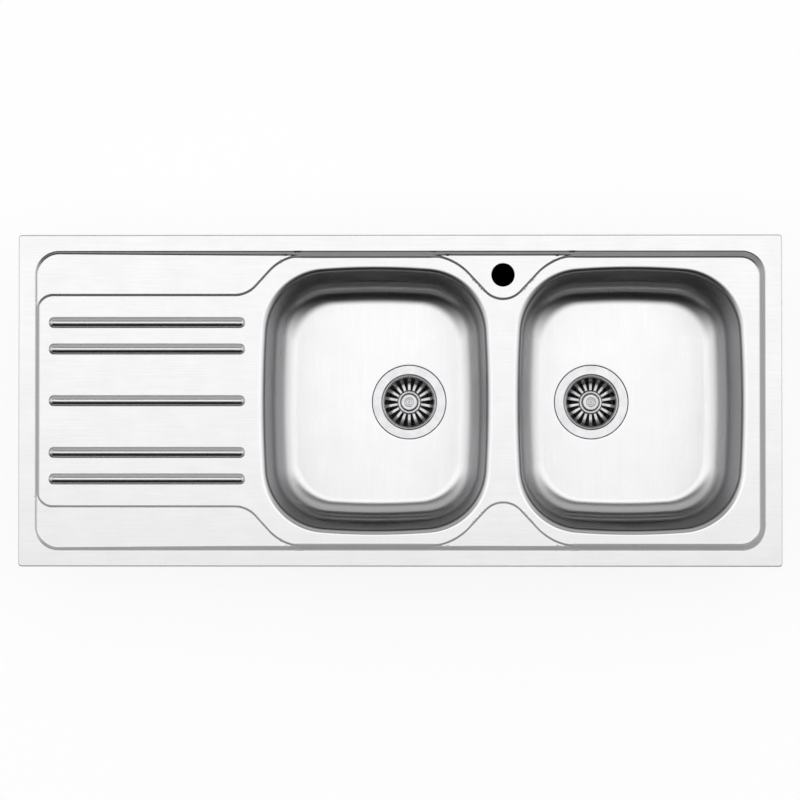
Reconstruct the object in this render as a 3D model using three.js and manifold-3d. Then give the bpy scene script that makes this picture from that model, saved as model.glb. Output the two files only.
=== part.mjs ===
// Double bowl kitchen sink with drainer, pressed stainless steel, inset in a worktop.
// Millimetres. +X to the right bowl, +Y to the tap, +Z up.
// The origin is the centre of the worktop cut-out, level with the top of the worktop.
import * as THREE from 'three';
import { mergeVertices } from 'three/addons/utils/BufferGeometryUtils.js';
import Module from 'manifold-3d';

const wasm = await Module();
wasm.setup();

// ---------------------------------------------------------------- driving dimensions
const gap = 0.3; // clearance between neighbouring pieces
const sheet = 1; // steel thickness

const rim = { length: 1150, width: 500, top: 7, lip: 0.8, edgeRadius: 3.5, cornerRadius: 5, band: 25 };

// The ledge falls from the left end of the drainer to the bowls, then stays level.
const ledge = { cornerRadius: 36, depthAtEnd: 3, depth: 5.5, levelFrom: -216 };

// The field is the lower recess with the drainer and the two bowls.
const field = {
  depth: 3, // below the ledge
  drainerHalf: 160.5, // half width across the drainer
  drainerCorner: 24,
  shoulder: { from: -231, to: -176.6, innerRadius: 42, outerRadius: 72 },
  valley: { slope: 47, radius: 35, shoulderRadius: 87 }, // round the tap hole, repeated at the front
};

const ribs = { length: 296, width: 15, height: 4, start: -530, rows: [118, 78, 0, -78, -118] };
const tap = { x: 155.5, y: 189.5, radius: 17.5 };

const bowl = {
  pitch: 384.5, // between the two bowls, which stand either side of the tap
  halfX: 173,
  halfY: 200,
  sideRadius: 1330, // the sides bulge
  endRadius: 800,
  cornerRadius: 81,
  cornerTaper: 0.6, // corner radius lost for each millimetre of inset
  depth: 160,
  rollRadius: 6,
  draft: 3,
  floorRadius: 40,
  flange: 4, // strip outside the roll, welded to the deck
};

const waste = {
  offset: 142.5, // from the tap's centre line to each outlet
  recessRadius: 59,
  recessBase: 57.6,
  recessDepth: 3,
  holeRadius: 44.5,
  flangeRadius: 57,
  mouthRadius: 42,
  cupDepth: 40,
  cupSheet: 0.8,
  seatRadius: 30,
  outletRadius: 23.9, // 1 1/2 inch thread
  outletBore: 19.5,
  outletEnd: -102,
};

const basket = {
  radius: 41,
  wallRadius: 38, // where the round wall starts under the rim
  foot: 22, // where it meets the flat bottom
  depth: 19,
  sheet: 0.9,
  slots: 18, // radial, wider at the outer end
  slotFrom: 19.5,
  slotTo: 37.5,
  slotWide: 8,
  slotNarrow: 2.6,
  middle: 17.4, // raised middle round the knob
};
const plug = { knobRadius: 12.4, knobHeight: 7, stemRadius: 3.2, sealRadius: 27, sealHeight: 6 };

const clip = {
  inset: 19, // stud centre to the rim's edge
  studRadius: 2.5,
  studEnd: -62,
  plate: [24, 10, 1.5],
  jaw: -30, // face that grips under the worktop
  width: 16,
  steel: 2,
};
const clipPlaces = [
  [-400, 'back'], [tap.x, 'back'], [478, 'back'],
  [-400, 'front'], [tap.x, 'front'], [478, 'front'],
  [0, 'left'], [0, 'right'],
];
const seal = { inset: 4, width: 9 };
const pad = { length: 84, width: 190, thickness: 3, cornerRadius: 12 };

// ---------------------------------------------------------------- levels worked out from them
const ledgeFloor = (x) => {
  const start = -rim.length / 2 + rim.band;
  const along = THREE.MathUtils.clamp((x - start) / (ledge.levelFrom - start), 0, 1);
  return rim.top - THREE.MathUtils.lerp(ledge.depthAtEnd, ledge.depth, along);
};
const fieldLevel = rim.top - ledge.depth - field.depth;
const bowlFloor = fieldLevel - bowl.depth;
const fall = (ledge.depth - ledge.depthAtEnd) / (ledge.levelFrom + rim.length / 2 - rim.band);

// ---------------------------------------------------------------- finishes
const finish = (color, roughness, metalness) =>
  new THREE.MeshStandardMaterial({ color, roughness, metalness });
const brushedSteel = finish(0xe6e5e6, 0.32, 1);
const polishedSteel = finish(0xe2e2e4, 0.2, 1);
const zincSteel = finish(0xb9bcc0, 0.42, 1);
const blackRubber = finish(0x1d1d1f, 0.75, 0);
const greyFoam = finish(0x4a4c4f, 0.95, 0);
const whitePlastic = finish(0xe9e9e6, 0.45, 0);
const greyPad = finish(0x6c6e70, 0.9, 0);

// ---------------------------------------------------------------- solids
function solidOf(geometry) {
  const bare = geometry.clone();
  bare.deleteAttribute('normal');
  bare.deleteAttribute('uv');
  const merged = mergeVertices(bare, 1e-4);
  const mesh = new wasm.Mesh({
    numProp: 3,
    vertProperties: new Float32Array(merged.attributes.position.array),
    triVerts: new Uint32Array(merged.index.array),
  });
  return new wasm.Manifold(mesh);
}

function geometryOf(solid) {
  const mesh = solid.getMesh();
  const geometry = new THREE.BufferGeometry();
  geometry.setAttribute('position', new THREE.BufferAttribute(new Float32Array(mesh.vertProperties), 3));
  geometry.setIndex(new THREE.BufferAttribute(new Uint32Array(mesh.triVerts), 1));
  geometry.computeVertexNormals();
  return geometry;
}

const joined = (...parts) => parts.map(solidOf).reduce((a, b) => a.add(b));
const without = (base, ...tools) => tools.map(solidOf).reduce((a, b) => a.subtract(b), base);

// Prism of a plan outline, from one height to another.
const upright = (shape, low, high) =>
  new THREE.ExtrudeGeometry(shape, { depth: high - low, bevelEnabled: false }).translate(0, 0, low);

// Prism of a side outline drawn in X and Z, centred on Y = 0.
const sideways = (shape, width) =>
  new THREE.ExtrudeGeometry(shape, { depth: width, bevelEnabled: false })
    .rotateX(Math.PI / 2)
    .translate(0, width / 2, 0);

const cone = (lowRadius, highRadius, low, high, sides) =>
  new THREE.CylinderGeometry(highRadius, lowRadius, high - low, sides)
    .rotateX(Math.PI / 2)
    .translate(0, 0, (low + high) / 2);
const cylinder = (radius, low, high, sides) => cone(radius, radius, low, high, sides);

// Revolved piece: the profile runs counter-clockwise in (radius, height).
const turned = (profile, sides) =>
  new THREE.LatheGeometry([...profile, profile[0]].map(([r, z]) => new THREE.Vector2(r, z)), sides)
    .rotateX(Math.PI / 2);

// Closed block through rings of one outline, from the lowest to the highest.
function blockBetween(...rings) {
  const count = rings[0].length;
  const last = (rings.length - 1) * count;
  const index = [];
  for (let row = 0; row < rings.length - 1; row++) {
    for (let i = 0; i < count; i++) {
      const j = (i + 1) % count;
      const [a, b, c, d] = [row * count + i, row * count + j, (row + 1) * count + i, (row + 1) * count + j];
      index.push(a, b, c, b, d, c);
    }
  }
  for (const [a, b, c] of THREE.ShapeUtils.triangulateShape(rings[0], [])) index.push(c, b, a);
  for (const [a, b, c] of THREE.ShapeUtils.triangulateShape(rings.at(-1), [])) {
    index.push(last + a, last + b, last + c);
  }
  const geometry = new THREE.BufferGeometry().setFromPoints(rings.flat());
  geometry.setIndex(index);
  return geometry;
}

// ---------------------------------------------------------------- outlines
const arc = (x, y, radius, from, to, steps) =>
  Array.from({ length: steps + 1 }, (_, i) => {
    const angle = from + ((to - from) * i) / steps;
    return new THREE.Vector2(x + radius * Math.cos(angle), y + radius * Math.sin(angle));
  });

// Polygon with rounded corners, corners [x, y, radius] counter-clockwise, moved inwards by inset.
function rounded(corners, inset, steps = 5) {
  return corners.flatMap(([x, y, radius], i) => {
    const [px, py] = corners.at(i - 1);
    const [nx, ny] = corners[(i + 1) % corners.length];
    const into = new THREE.Vector2(x - px, y - py).normalize();
    const out = new THREE.Vector2(nx - x, ny - y).normalize();
    const left = new THREE.Vector2(-into.y, into.x);
    const leftOut = new THREE.Vector2(-out.y, out.x);
    const turn = Math.atan2(into.cross(out), into.dot(out));
    const side = Math.sign(turn);
    const r = radius - side * inset;
    const shift = inset / (1 + left.dot(leftOut));
    const corner = new THREE.Vector2(x, y).addScaledVector(left, shift).addScaledVector(leftOut, shift);
    const back = r * Math.tan(Math.abs(turn) / 2);
    const centre = corner.addScaledVector(into, -back).addScaledVector(left, side * r);
    const from = Math.atan2(-side * left.y, -side * left.x);
    return arc(centre.x, centre.y, r, from, from + turn, steps);
  });
}

const box = (halfX, halfY, radius) => [
  [halfX, -halfY, radius], [halfX, halfY, radius], [-halfX, halfY, radius], [-halfX, -halfY, radius],
];

const atHeight = (points, height) =>
  points.map((p) => new THREE.Vector3(p.x, p.y, typeof height === 'function' ? height(p.x) : height));

const rimCorners = box(rim.length / 2, rim.width / 2, rim.cornerRadius);
const ledgeCorners = box(rim.length / 2 - rim.band, rim.width / 2 - rim.band, ledge.cornerRadius);

// Field outline: the back half from right to left, then its mirror image along the front.
function fieldCorners() {
  const { shoulder, valley } = field;
  const past = 0.8; // outside the ledge's walls, which take over there
  const right = rim.length / 2 - rim.band - ledge.depth + past;
  const left = -(rim.length / 2 - rim.band - ledge.depthAtEnd + past);
  const back = rim.width / 2 - rim.band - ledge.depth + past;
  const slope = THREE.MathUtils.degToRad(valley.slope);
  const valleyY = tap.y - valley.radius / Math.cos(slope);
  const reach = (back - valleyY) / Math.tan(slope);
  const half = [
    [right, back, ledge.cornerRadius - ledge.depth],
    [tap.x + reach, back, valley.shoulderRadius],
    [tap.x, valleyY, valley.radius],
    [tap.x - reach, back, valley.shoulderRadius],
    [shoulder.to, back, shoulder.outerRadius],
    [shoulder.from, field.drainerHalf, shoulder.innerRadius],
    [left, field.drainerHalf, field.drainerCorner],
  ];
  return [...half, ...half.map(([x, y, r]) => [x, -y, r]).reverse()];
}

// Bowl outline: four bulging sides and four corners, all arcs, moved inwards by inset.
function bowlOutline(inset) {
  const side = bowl.sideRadius - inset;
  const end = bowl.endRadius - inset;
  const corner = bowl.cornerRadius - bowl.cornerTaper * inset;
  const sideX = bowl.halfX - bowl.sideRadius;
  const endY = bowl.halfY - bowl.endRadius;
  // The corner's centre lies where circles about both arcs' centres meet.
  const [ra, rb] = [side - corner, end - corner];
  const across = Math.hypot(sideX, endY);
  const along = (ra * ra - rb * rb + across * across) / (2 * across);
  const off = Math.sqrt(ra * ra - along * along);
  const [ux, uy] = [-sideX / across, endY / across];
  const cx = sideX + along * ux - off * uy;
  const cy = along * uy + off * ux;
  const a = Math.atan2(cy, cx - sideX);
  const b = Math.atan2(cy - endY, cx);
  const pi = Math.PI;
  return [
    arc(sideX, 0, side, -a, a, 3), arc(cx, cy, corner, a, b, 6),
    arc(0, endY, end, b, pi - b, 3), arc(-cx, cy, corner, pi - b, pi - a, 6),
    arc(-sideX, 0, side, pi - a, pi + a, 3), arc(-cx, -cy, corner, pi + a, pi + b, 6),
    arc(0, -endY, end, pi + b, 2 * pi - b, 3), arc(cx, -cy, corner, 2 * pi - b, 2 * pi - a, 6),
  ].flatMap((points) => points.slice(0, -1));
}

// ---------------------------------------------------------------- deck
// Funnel with 45 degree walls through the outline, which lies on the given surface.
function funnel(corners, surface, above, below) {
  return solidOf(blockBetween(
    atHeight(rounded(corners, below), (x) => surface(x) - below),
    atHeight(rounded(corners, -above), (x) => surface(x) + above),
  ));
}

// Room above a floor that falls with the ledge.
function roomAbove(depth) {
  const ends = [-rim.length / 2, ledge.levelFrom, rim.length / 2];
  const floor = ends.map((x) => new THREE.Vector2(x, ledgeFloor(x) - depth));
  const ceiling = [ends[2], ends[0]].map((x) => new THREE.Vector2(x, rim.top + 5));
  return solidOf(sideways(new THREE.Shape([...floor, ...ceiling]), rim.width));
}

// What the press takes out of a flat sheet: the ledge, and the field where the walls of both run together.
function pressing() {
  const ledgeWalls = funnel(ledgeCorners, () => rim.top, 1, 14);
  const fieldWalls = funnel(fieldCorners(), ledgeFloor, 1, 6);
  const fieldRoom = fieldWalls.intersect(roomAbove(field.depth));
  return ledgeWalls.intersect(roomAbove(0).add(fieldRoom));
}

function drainerRib(y) {
  const middle = ribs.start + ribs.length / 2;
  return new THREE.CapsuleGeometry(ribs.width / 2, ribs.length - ribs.width, 2, 10)
    .rotateZ(Math.PI / 2)
    .scale(1, 1, (2 * ribs.height) / ribs.width)
    .rotateY(Math.atan(fall))
    .translate(middle, y, ledgeFloor(middle) - field.depth);
}

// Block whose upper face is the pressed surface, lowered by drop and drawn in by inset.
function pressedBlock(drop, inset, base) {
  const r = rim.edgeRadius;
  const edge = [0, 45, 90].map((degrees) => {
    const a = THREE.MathUtils.degToRad(degrees);
    const atEdge = inset + (r - inset) * (1 - Math.cos(a));
    return atHeight(rounded(rimCorners, atEdge, 4), rim.top - r + (r - drop) * Math.sin(a));
  });
  const block = solidOf(blockBetween(atHeight(rounded(rimCorners, inset, 4), base), ...edge));
  const pressed = block.subtract(pressing().translate(0, 0, -drop));
  return ribs.rows.reduce((solid, y) => solid.add(solidOf(drainerRib(y).translate(0, 0, -drop))), pressed);
}

function deck() {
  const base = -12;
  const shell = pressedBlock(0, 0, base).subtract(pressedBlock(sheet, sheet, base - 1));
  const skirt = new THREE.Shape(rounded(rimCorners, -1, 4));
  skirt.holes.push(new THREE.Path(rounded(rimCorners, rim.edgeRadius, 4)));
  const opening = new THREE.Shape(bowlOutline(-bowl.flange));
  const bowlHole = (x) => upright(opening, base, rim.top).translate(x, 0, 0);
  return geometryOf(without(
    shell,
    upright(skirt, base - 1, rim.lip),
    bowlHole(tap.x - bowl.pitch / 2),
    bowlHole(tap.x + bowl.pitch / 2),
    cylinder(tap.radius, base, rim.top, 24).translate(tap.x, tap.y, 0),
  ));
}

// ---------------------------------------------------------------- bowls
// Section through a bowl wall in (inset, depth): roll, drafted wall and floor curve. The wet face has
// back = 0, the face behind it back = sheet.
function wallSection(back) {
  const draft = THREE.MathUtils.degToRad(bowl.draft);
  const { rollRadius, floorRadius, depth } = bowl;
  const reach = rollRadius + floorRadius;
  const wall = (depth - reach + reach * Math.sin(draft)) / Math.cos(draft);
  const floorX = reach * Math.cos(draft) + wall * Math.sin(draft);
  const curve = (x, y, radius, from, to, steps) => arc(x, y, radius, from, to, steps).map((p) => [p.x, p.y]);
  return [
    ...curve(0, -rollRadius, rollRadius - back, Math.PI / 2, draft, 2),
    ...curve(floorX, floorRadius - depth, floorRadius + back, Math.PI + draft, 1.5 * Math.PI, 4),
  ];
}

function bowlShell(outletX) {
  const ringAt = (inset, z) => atHeight(bowlOutline(inset), fieldLevel + z);
  const face = (back) => wallSection(back).map(([inset, z]) => ringAt(inset, z)).reverse();
  const welded = -bowl.flange + gap;
  const outside = blockBetween(...face(sheet), ringAt(welded, -sheet), ringAt(welded, 0));
  const inside = blockBetween(...face(0), ringAt(0, 1));
  const { recessRadius: wide, recessBase: base, recessDepth, holeRadius } = waste;
  const recessFloor = bowlFloor - recessDepth;
  const slope = (wide - base) / recessDepth;
  const seat = (back, above) =>
    cone(base + back, wide + back + slope * above, recessFloor - back, bowlFloor - back + above, 30)
      .translate(outletX, 0, 0);
  return geometryOf(without(
    joined(outside, seat(sheet, sheet / 2)),
    inside,
    seat(0, 1),
    cylinder(holeRadius, recessFloor - 2 * sheet, bowlFloor, 24).translate(outletX, 0, 0),
  ));
}

// ---------------------------------------------------------------- basket strainer waste
// Heights are measured from the bowl floor. The plug is drawn pushed down, closing the cup.
const wasteFlange = () => {
  const { flangeRadius: f, mouthRadius: m, cupDepth: d, seatRadius, cupSheet: t } = waste;
  const cup = turned([
    [f, -1], [f - 0.8, 0.4], [m + 1.8, 0.4], [m, -1], [m, -3], [m - 2.4, -3.2],
    [m - 3.5, 10 - d], [seatRadius, -d], [3.2, -d], [3.2, -d - t], [seatRadius + 0.4, -d - t],
    [m - 2.7, 9.7 - d], [m - 1.6, -3.9], [m + 0.8, -3.8], [m + 0.8, -1.3], [m + 2, -0.5], [f - 1.2, -0.5],
  ], 20);
  const drains = Array.from({ length: 5 }, (_, i) => {
    const angle = (i * 2 * Math.PI) / 5;
    return cylinder(5.6, -d - 3, -d + 3, 8).translate(14 * Math.cos(angle), 14 * Math.sin(angle), 0);
  });
  return geometryOf(without(solidOf(cup), ...drains));
};

// Dished basket: a rim that hangs on the flange's step, a round slotted wall and a raised middle.
const strainerBasket = () => {
  const { radius: r, wallRadius, foot, depth: d, sheet: t, middle } = basket;
  const { slots, slotFrom, slotTo, slotWide, slotNarrow } = basket;
  const bore = plug.stemRadius + gap;
  const wall = (top, back) =>
    new THREE.EllipseCurve(foot, top, wallRadius + back - foot, d + top + back, 0, -Math.PI / 2, true)
      .getPoints(2).map((p) => [p.x, p.y]);
  const dish = turned([
    [r, -2.7], [r, -1.6], [r - 1, -0.9], ...wall(-1.6, 0), [middle + 1.4, -d], [middle, 3.5 - d],
    [bore, 2.5 - d], [bore, 2.5 - d - t], [middle - 0.6, 3.5 - d - t], [middle + 0.8, -d - t],
    ...wall(-2.7, t).reverse(),
  ], slots);
  const wedge = new THREE.Shape([
    new THREE.Vector2(slotFrom, -slotNarrow / 2), new THREE.Vector2(slotTo, -slotWide / 2),
    new THREE.Vector2(slotTo, slotWide / 2), new THREE.Vector2(slotFrom, slotNarrow / 2),
  ]);
  const cuts = Array.from({ length: slots }, (_, i) =>
    upright(wedge, -d - 3, 2).rotateZ((2 * Math.PI * (i + 0.5)) / slots));
  return geometryOf(without(solidOf(dish), ...cuts));
};

// Knob, stem and the foot that holds the rubber disc.
const plugStem = () => {
  const { knobRadius: k, knobHeight: h, stemRadius: r } = plug;
  const seat = 3.4 - basket.depth;
  const foot = 2.9 - waste.cupDepth;
  const collar = plug.sealHeight + 2 * gap - waste.cupDepth;
  return turned([
    [0, foot], [6.5, foot], [6.5, foot + 0.6], [r, foot + 0.6], [r, collar], [5, collar], [5, collar + 1],
    [r, collar + 1], [r, seat], [k - 2.5, seat], [k, seat + 2], [k, seat + h - 1.8], [k - 2, seat + h],
    [5, seat + h], [4, seat + h - 1.2], [2.4, seat + h - 1.2], [1.6, seat + h - 0.4], [0, seat + h - 0.4],
  ], 14);
};

// Rubber disc under the basket, whose lip closes the floor of the cup.
const plugSeal = () => {
  const low = gap - waste.cupDepth;
  const bore = plug.stemRadius + gap;
  const { sealRadius: r, sealHeight: h } = plug;
  return turned([
    [bore, low + 3.5], [8.5, low + 3.5], [11, low + 1.4], [r - 6, low + 1.4], [r - 2.5, low],
    [r - 0.5, low + 0.6], [r, low + 2], [r - 2, low + 4], [9, low + h], [bore, low + h],
  ], 16);
};

const ring = (inner, outer, low, high) =>
  turned([[inner, low], [outer, low], [outer, high], [inner, high]], 16);

// Plastic body: flange under the bowl, funnel, threaded outlet and a spider that takes the centre screw.
const bodyTop = -waste.recessDepth - sheet - 3.1;
const wasteBody = () => {
  const { outletRadius, outletBore, outletEnd, mouthRadius: m, cupDepth: d } = waste;
  const shell = turned([
    [outletBore, outletEnd], [outletRadius, outletEnd], [outletRadius, -d - 30], [outletRadius + 4, -d - 26],
    [36, -d - 14], [m + 4.2, -d], [m + 5, -14], [m + 12, -12], [m + 12, bodyTop], [m + 1.4, bodyTop],
    [m + 0.6, 6 - d], [33, -d - 10.5], [outletBore + 3, -d - 24], [outletBore, -d - 28],
  ], 18);
  const hub = cylinder(6.5, -d - 22, -d - 1.4, 10);
  const spokes = [0, 1, 2].map((i) =>
    new THREE.BoxGeometry(31, 3, 9).translate(15.5, 0, -d - 14).rotateZ((2 * Math.PI * i) / 3));
  return geometryOf(without(joined(shell, hub, ...spokes), cylinder(2.6, -d - 24, 0, 8)));
};

// Round-headed screw from the cup's middle into the body's hub.
const wasteScrew = () => {
  const { cupDepth: d } = waste;
  return turned([
    [0, -d - 20], [1.7, -d - 20], [2.3, -d - 18], [2.3, gap - d], [5.2, gap - d], [5.2, 1.6 - d],
    [3.6, 2.6 - d], [1.2, 2.6 - d], [1.2, 1.4 - d], [0, 1.4 - d],
  ], 12);
};

// ---------------------------------------------------------------- worktop clips
// Drawn with +Y pointing out to the rim's edge and the stud on the origin.
const studTop = rim.top - sheet - gap;
const clipStud = () => {
  const [length, width, thickness] = clip.plate;
  const plate = new THREE.BoxGeometry(length, width, thickness).translate(0, 0, studTop - thickness / 2);
  return geometryOf(joined(plate, cylinder(clip.studRadius, clip.studEnd, studTop - 0.5, 8)));
};

// Pressed channel with an upturned jaw at its outer end and a heel at its inner end.
const armBase = clip.jaw - 8;
const clipArm = () => {
  const { steel: t, width, inset } = clip;
  const jawFace = inset - 1.5;
  const side = new THREE.Shape([
    [-13, 6], [-13, 1], [-11.5, 0], [jawFace - 1, 0], [jawFace, 1], [jawFace, 8], [jawFace - 3.2, 8],
    [jawFace - 3.2, 5], [6, 5], [-10.5, 5], [-11, 6],
  ].map(([x, z]) => new THREE.Vector2(x, z)));
  const trough = new THREE.BoxGeometry(jawFace - 3.2 + 10.8 - t, width - 2 * t, 10)
    .translate((jawFace - 3.2 - 10.8) / 2, 0, t + 5);
  const arm = without(solidOf(sideways(side, width)), trough, cylinder(clip.studRadius + 0.5, -1, 10, 8));
  return geometryOf(arm).rotateZ(Math.PI / 2).translate(0, 0, armBase);
};

const wingNut = () => {
  const top = armBase - gap;
  const hub = turned([
    [clip.studRadius + gap, top - 7], [4.2, top - 7], [5.5, top], [clip.studRadius + gap, top],
  ], 8);
  const wing = new THREE.Shape([
    [3.7, -6.4], [10.8, -11], [14.6, -10.4], [15.6, -7.2], [13, -5], [9.6, -5.4], [6, -1.2], [3.7, -1.4],
  ].map(([x, z]) => new THREE.Vector2(x, z)));
  const wings = [0, Math.PI].map((turn) => sideways(wing, 2).translate(0, 0, top).rotateZ(turn));
  return geometryOf(joined(hub, ...wings));
};

// ---------------------------------------------------------------- seals and pads
const sealStrip = (side) => {
  const { inset, width } = seal;
  const outX = rim.length / 2 - inset;
  const outY = rim.width / 2 - inset;
  const long = side === 'back' || side === 'front';
  const size = long ? [2 * outX, width] : [width, 2 * (outY - width - gap)];
  const place = {
    back: [0, outY - width / 2],
    front: [0, width / 2 - outY],
    left: [width / 2 - outX, 0],
    right: [outX - width / 2, 0],
  };
  return new THREE.BoxGeometry(...size, studTop).translate(...place[side], studTop / 2);
};

const soundPad = () => {
  const outline = rounded(box(pad.length / 2, pad.width / 2, pad.cornerRadius), 0, 3);
  const top = bowlFloor - sheet - gap;
  return upright(new THREE.Shape(outline), top - pad.thickness, top);
};

// ---------------------------------------------------------------- assembly
const sink = new THREE.Group();

function add(parent, name, geometry, material, x = 0, y = 0, z = 0) {
  const mesh = new THREE.Mesh(geometry, material);
  mesh.name = name;
  mesh.position.set(x, y, z);
  parent.add(mesh);
}

add(sink, 'deck', deck(), brushedSteel);
for (const side of ['back', 'front', 'left', 'right']) {
  add(sink, `rim_seal_${side}`, sealStrip(side), greyFoam);
}

for (const [name, sign] of [['left', -1], ['right', 1]]) {
  const bowlX = tap.x + (sign * bowl.pitch) / 2;
  const outletX = tap.x + sign * waste.offset;
  add(sink, `bowl_${name}`, bowlShell(outletX - bowlX), brushedSteel, bowlX);
  add(sink, `sound_pad_${name}`, soundPad(), greyPad, bowlX + sign * 68);

  const outlet = new THREE.Group();
  outlet.position.set(outletX, 0, bowlFloor);
  sink.add(outlet);
  const seatTop = -waste.recessDepth;
  add(outlet, `flange_gasket_${name}`, ring(45.5, 55, seatTop + gap, -0.8), blackRubber);
  add(outlet, `waste_flange_${name}`, wasteFlange(), polishedSteel);
  add(outlet, `strainer_basket_${name}`, strainerBasket(), polishedSteel);
  add(outlet, `plug_stem_${name}`, plugStem(), polishedSteel);
  add(outlet, `plug_seal_${name}`, plugSeal(), blackRubber);
  add(outlet, `body_gasket_${name}`, ring(45, 54, bodyTop + gap, seatTop - sheet - gap), blackRubber);
  add(outlet, `waste_body_${name}`, wasteBody(), whitePlastic);
  add(outlet, `waste_screw_${name}`, wasteScrew(), zincSteel);
}

const sides = {
  back: { turn: 0, at: (along) => [along, rim.width / 2 - clip.inset] },
  front: { turn: Math.PI, at: (along) => [along, clip.inset - rim.width / 2] },
  left: { turn: Math.PI / 2, at: (along) => [clip.inset - rim.length / 2, along] },
  right: { turn: -Math.PI / 2, at: (along) => [rim.length / 2 - clip.inset, along] },
};
clipPlaces.forEach(([along, side], i) => {
  const holder = new THREE.Group();
  holder.position.set(...sides[side].at(along), 0);
  holder.rotation.z = sides[side].turn;
  sink.add(holder);
  add(holder, `clip_stud_${i + 1}`, clipStud(), zincSteel);
  add(holder, `clip_arm_${i + 1}`, clipArm(), zincSteel);
  add(holder, `clip_nut_${i + 1}`, wingNut(), zincSteel);
});

export default sink;
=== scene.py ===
import math

import bmesh
import bpy
import numpy as np
from mathutils import Matrix, Vector
from mathutils.geometry import delaunay_2d_cdt


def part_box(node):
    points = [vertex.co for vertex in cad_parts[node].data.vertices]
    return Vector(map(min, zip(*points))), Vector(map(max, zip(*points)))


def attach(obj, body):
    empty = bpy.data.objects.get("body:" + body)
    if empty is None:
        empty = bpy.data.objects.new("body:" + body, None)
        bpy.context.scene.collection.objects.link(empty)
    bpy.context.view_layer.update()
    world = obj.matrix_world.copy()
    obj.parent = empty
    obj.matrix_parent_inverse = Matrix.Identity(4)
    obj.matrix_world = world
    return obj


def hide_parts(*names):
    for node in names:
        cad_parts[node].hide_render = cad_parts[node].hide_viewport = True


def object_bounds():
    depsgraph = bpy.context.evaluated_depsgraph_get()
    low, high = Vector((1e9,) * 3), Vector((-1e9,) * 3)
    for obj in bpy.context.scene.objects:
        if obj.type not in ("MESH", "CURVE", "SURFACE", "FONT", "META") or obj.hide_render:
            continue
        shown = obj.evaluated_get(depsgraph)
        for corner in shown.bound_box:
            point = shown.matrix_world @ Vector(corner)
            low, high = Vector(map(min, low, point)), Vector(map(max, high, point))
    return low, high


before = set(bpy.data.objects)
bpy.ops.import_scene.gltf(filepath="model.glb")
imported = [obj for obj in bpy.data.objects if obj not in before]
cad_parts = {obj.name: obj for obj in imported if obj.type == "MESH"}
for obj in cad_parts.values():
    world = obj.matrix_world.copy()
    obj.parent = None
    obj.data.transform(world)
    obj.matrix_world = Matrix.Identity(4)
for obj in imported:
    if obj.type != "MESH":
        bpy.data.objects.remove(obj)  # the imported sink, one object for each part, in metres
cadBox = [list(corner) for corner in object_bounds()]
deckLow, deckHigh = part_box("deck")
print("frame loaded:", len(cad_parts), "parts")

scene = bpy.context.scene
scene.view_settings.view_transform = "Standard"


# camera above the sink, a little to the front and the right of its middle, and turned back onto it
camera = {
    "height": 4.1, "span": 1.204,  # span: width seen at the rim
    "aim": (0.0002, 0.0008), "place": (0.040, -0.060), "farthest": 30,
}

cameraData = bpy.data.cameras.new("camera")
cameraData.lens = cameraData.sensor_width * camera["height"] / camera["span"]
cameraData.clip_end = camera["farthest"]
cameraObject = bpy.data.objects.new("camera", cameraData)
cameraObject.location = (*camera["place"], deckHigh.z + camera["height"])
sideways, forwards = (a - b for a, b in zip(camera["aim"], camera["place"]))
lean, tilt = math.atan2(forwards, camera["height"]), -math.atan2(sideways, camera["height"])
cameraObject.rotation_euler = (lean, tilt, 0)
scene.collection.objects.link(cameraObject)
scene.camera = cameraObject


# node helpers
def newNode(tree, kind, values=None, **settings):
    node = tree.nodes.new(kind)
    for name, value in settings.items():
        setattr(node, name, value)
    for key, value in (values or {}).items():
        if isinstance(value, bpy.types.NodeSocket):
            tree.links.new(value, node.inputs[key])
        else:
            node.inputs[key].default_value = value
    return node


def maths(tree, operation, *values):
    node = newNode(tree, "ShaderNodeMath", dict(enumerate(values)), operation=operation)
    return node.outputs[0]


def smoothRange(tree, value, low, high, toLow=0.0, toHigh=1.0):
    node = newNode(tree, "ShaderNodeMapRange", interpolation_type="SMOOTHSTEP",
                   values={"Value": value, "From Min": low, "From Max": high,
                           "To Min": toLow, "To Max": toHigh})
    return node.outputs["Result"]


# world: a bright ceiling panel that fades slowly to both sides, and a grey room, darkest high up at the front
studio = {
    "panel": 1.53, "toSide": (0.3, 1.7), "toFront": (-0.04, 0.5), "toBack": (0.17, 0.42),
    "frontEdge": (-0.015, 0.055, 0.86),  # where the panel dims a little, and what it keeps
    "backWall": 0.55, "backFrom": (0.34, 0.66), "frontWall": 0.008,
    "sideWall": (0.5, 1.0),  # low down, and what it gains overhead
    "sideFrom": (0.3, 0.8), "sideFront": (-0.75, -0.1),
    "horizon": (0.42, 0.46),  # at the front and behind
    "horizonFrom": (-0.75, 0.0), "low": (0.08, 0.38), "flattest": 0.02, "colour": (0.985, 0.99, 1.0),
}


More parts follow.
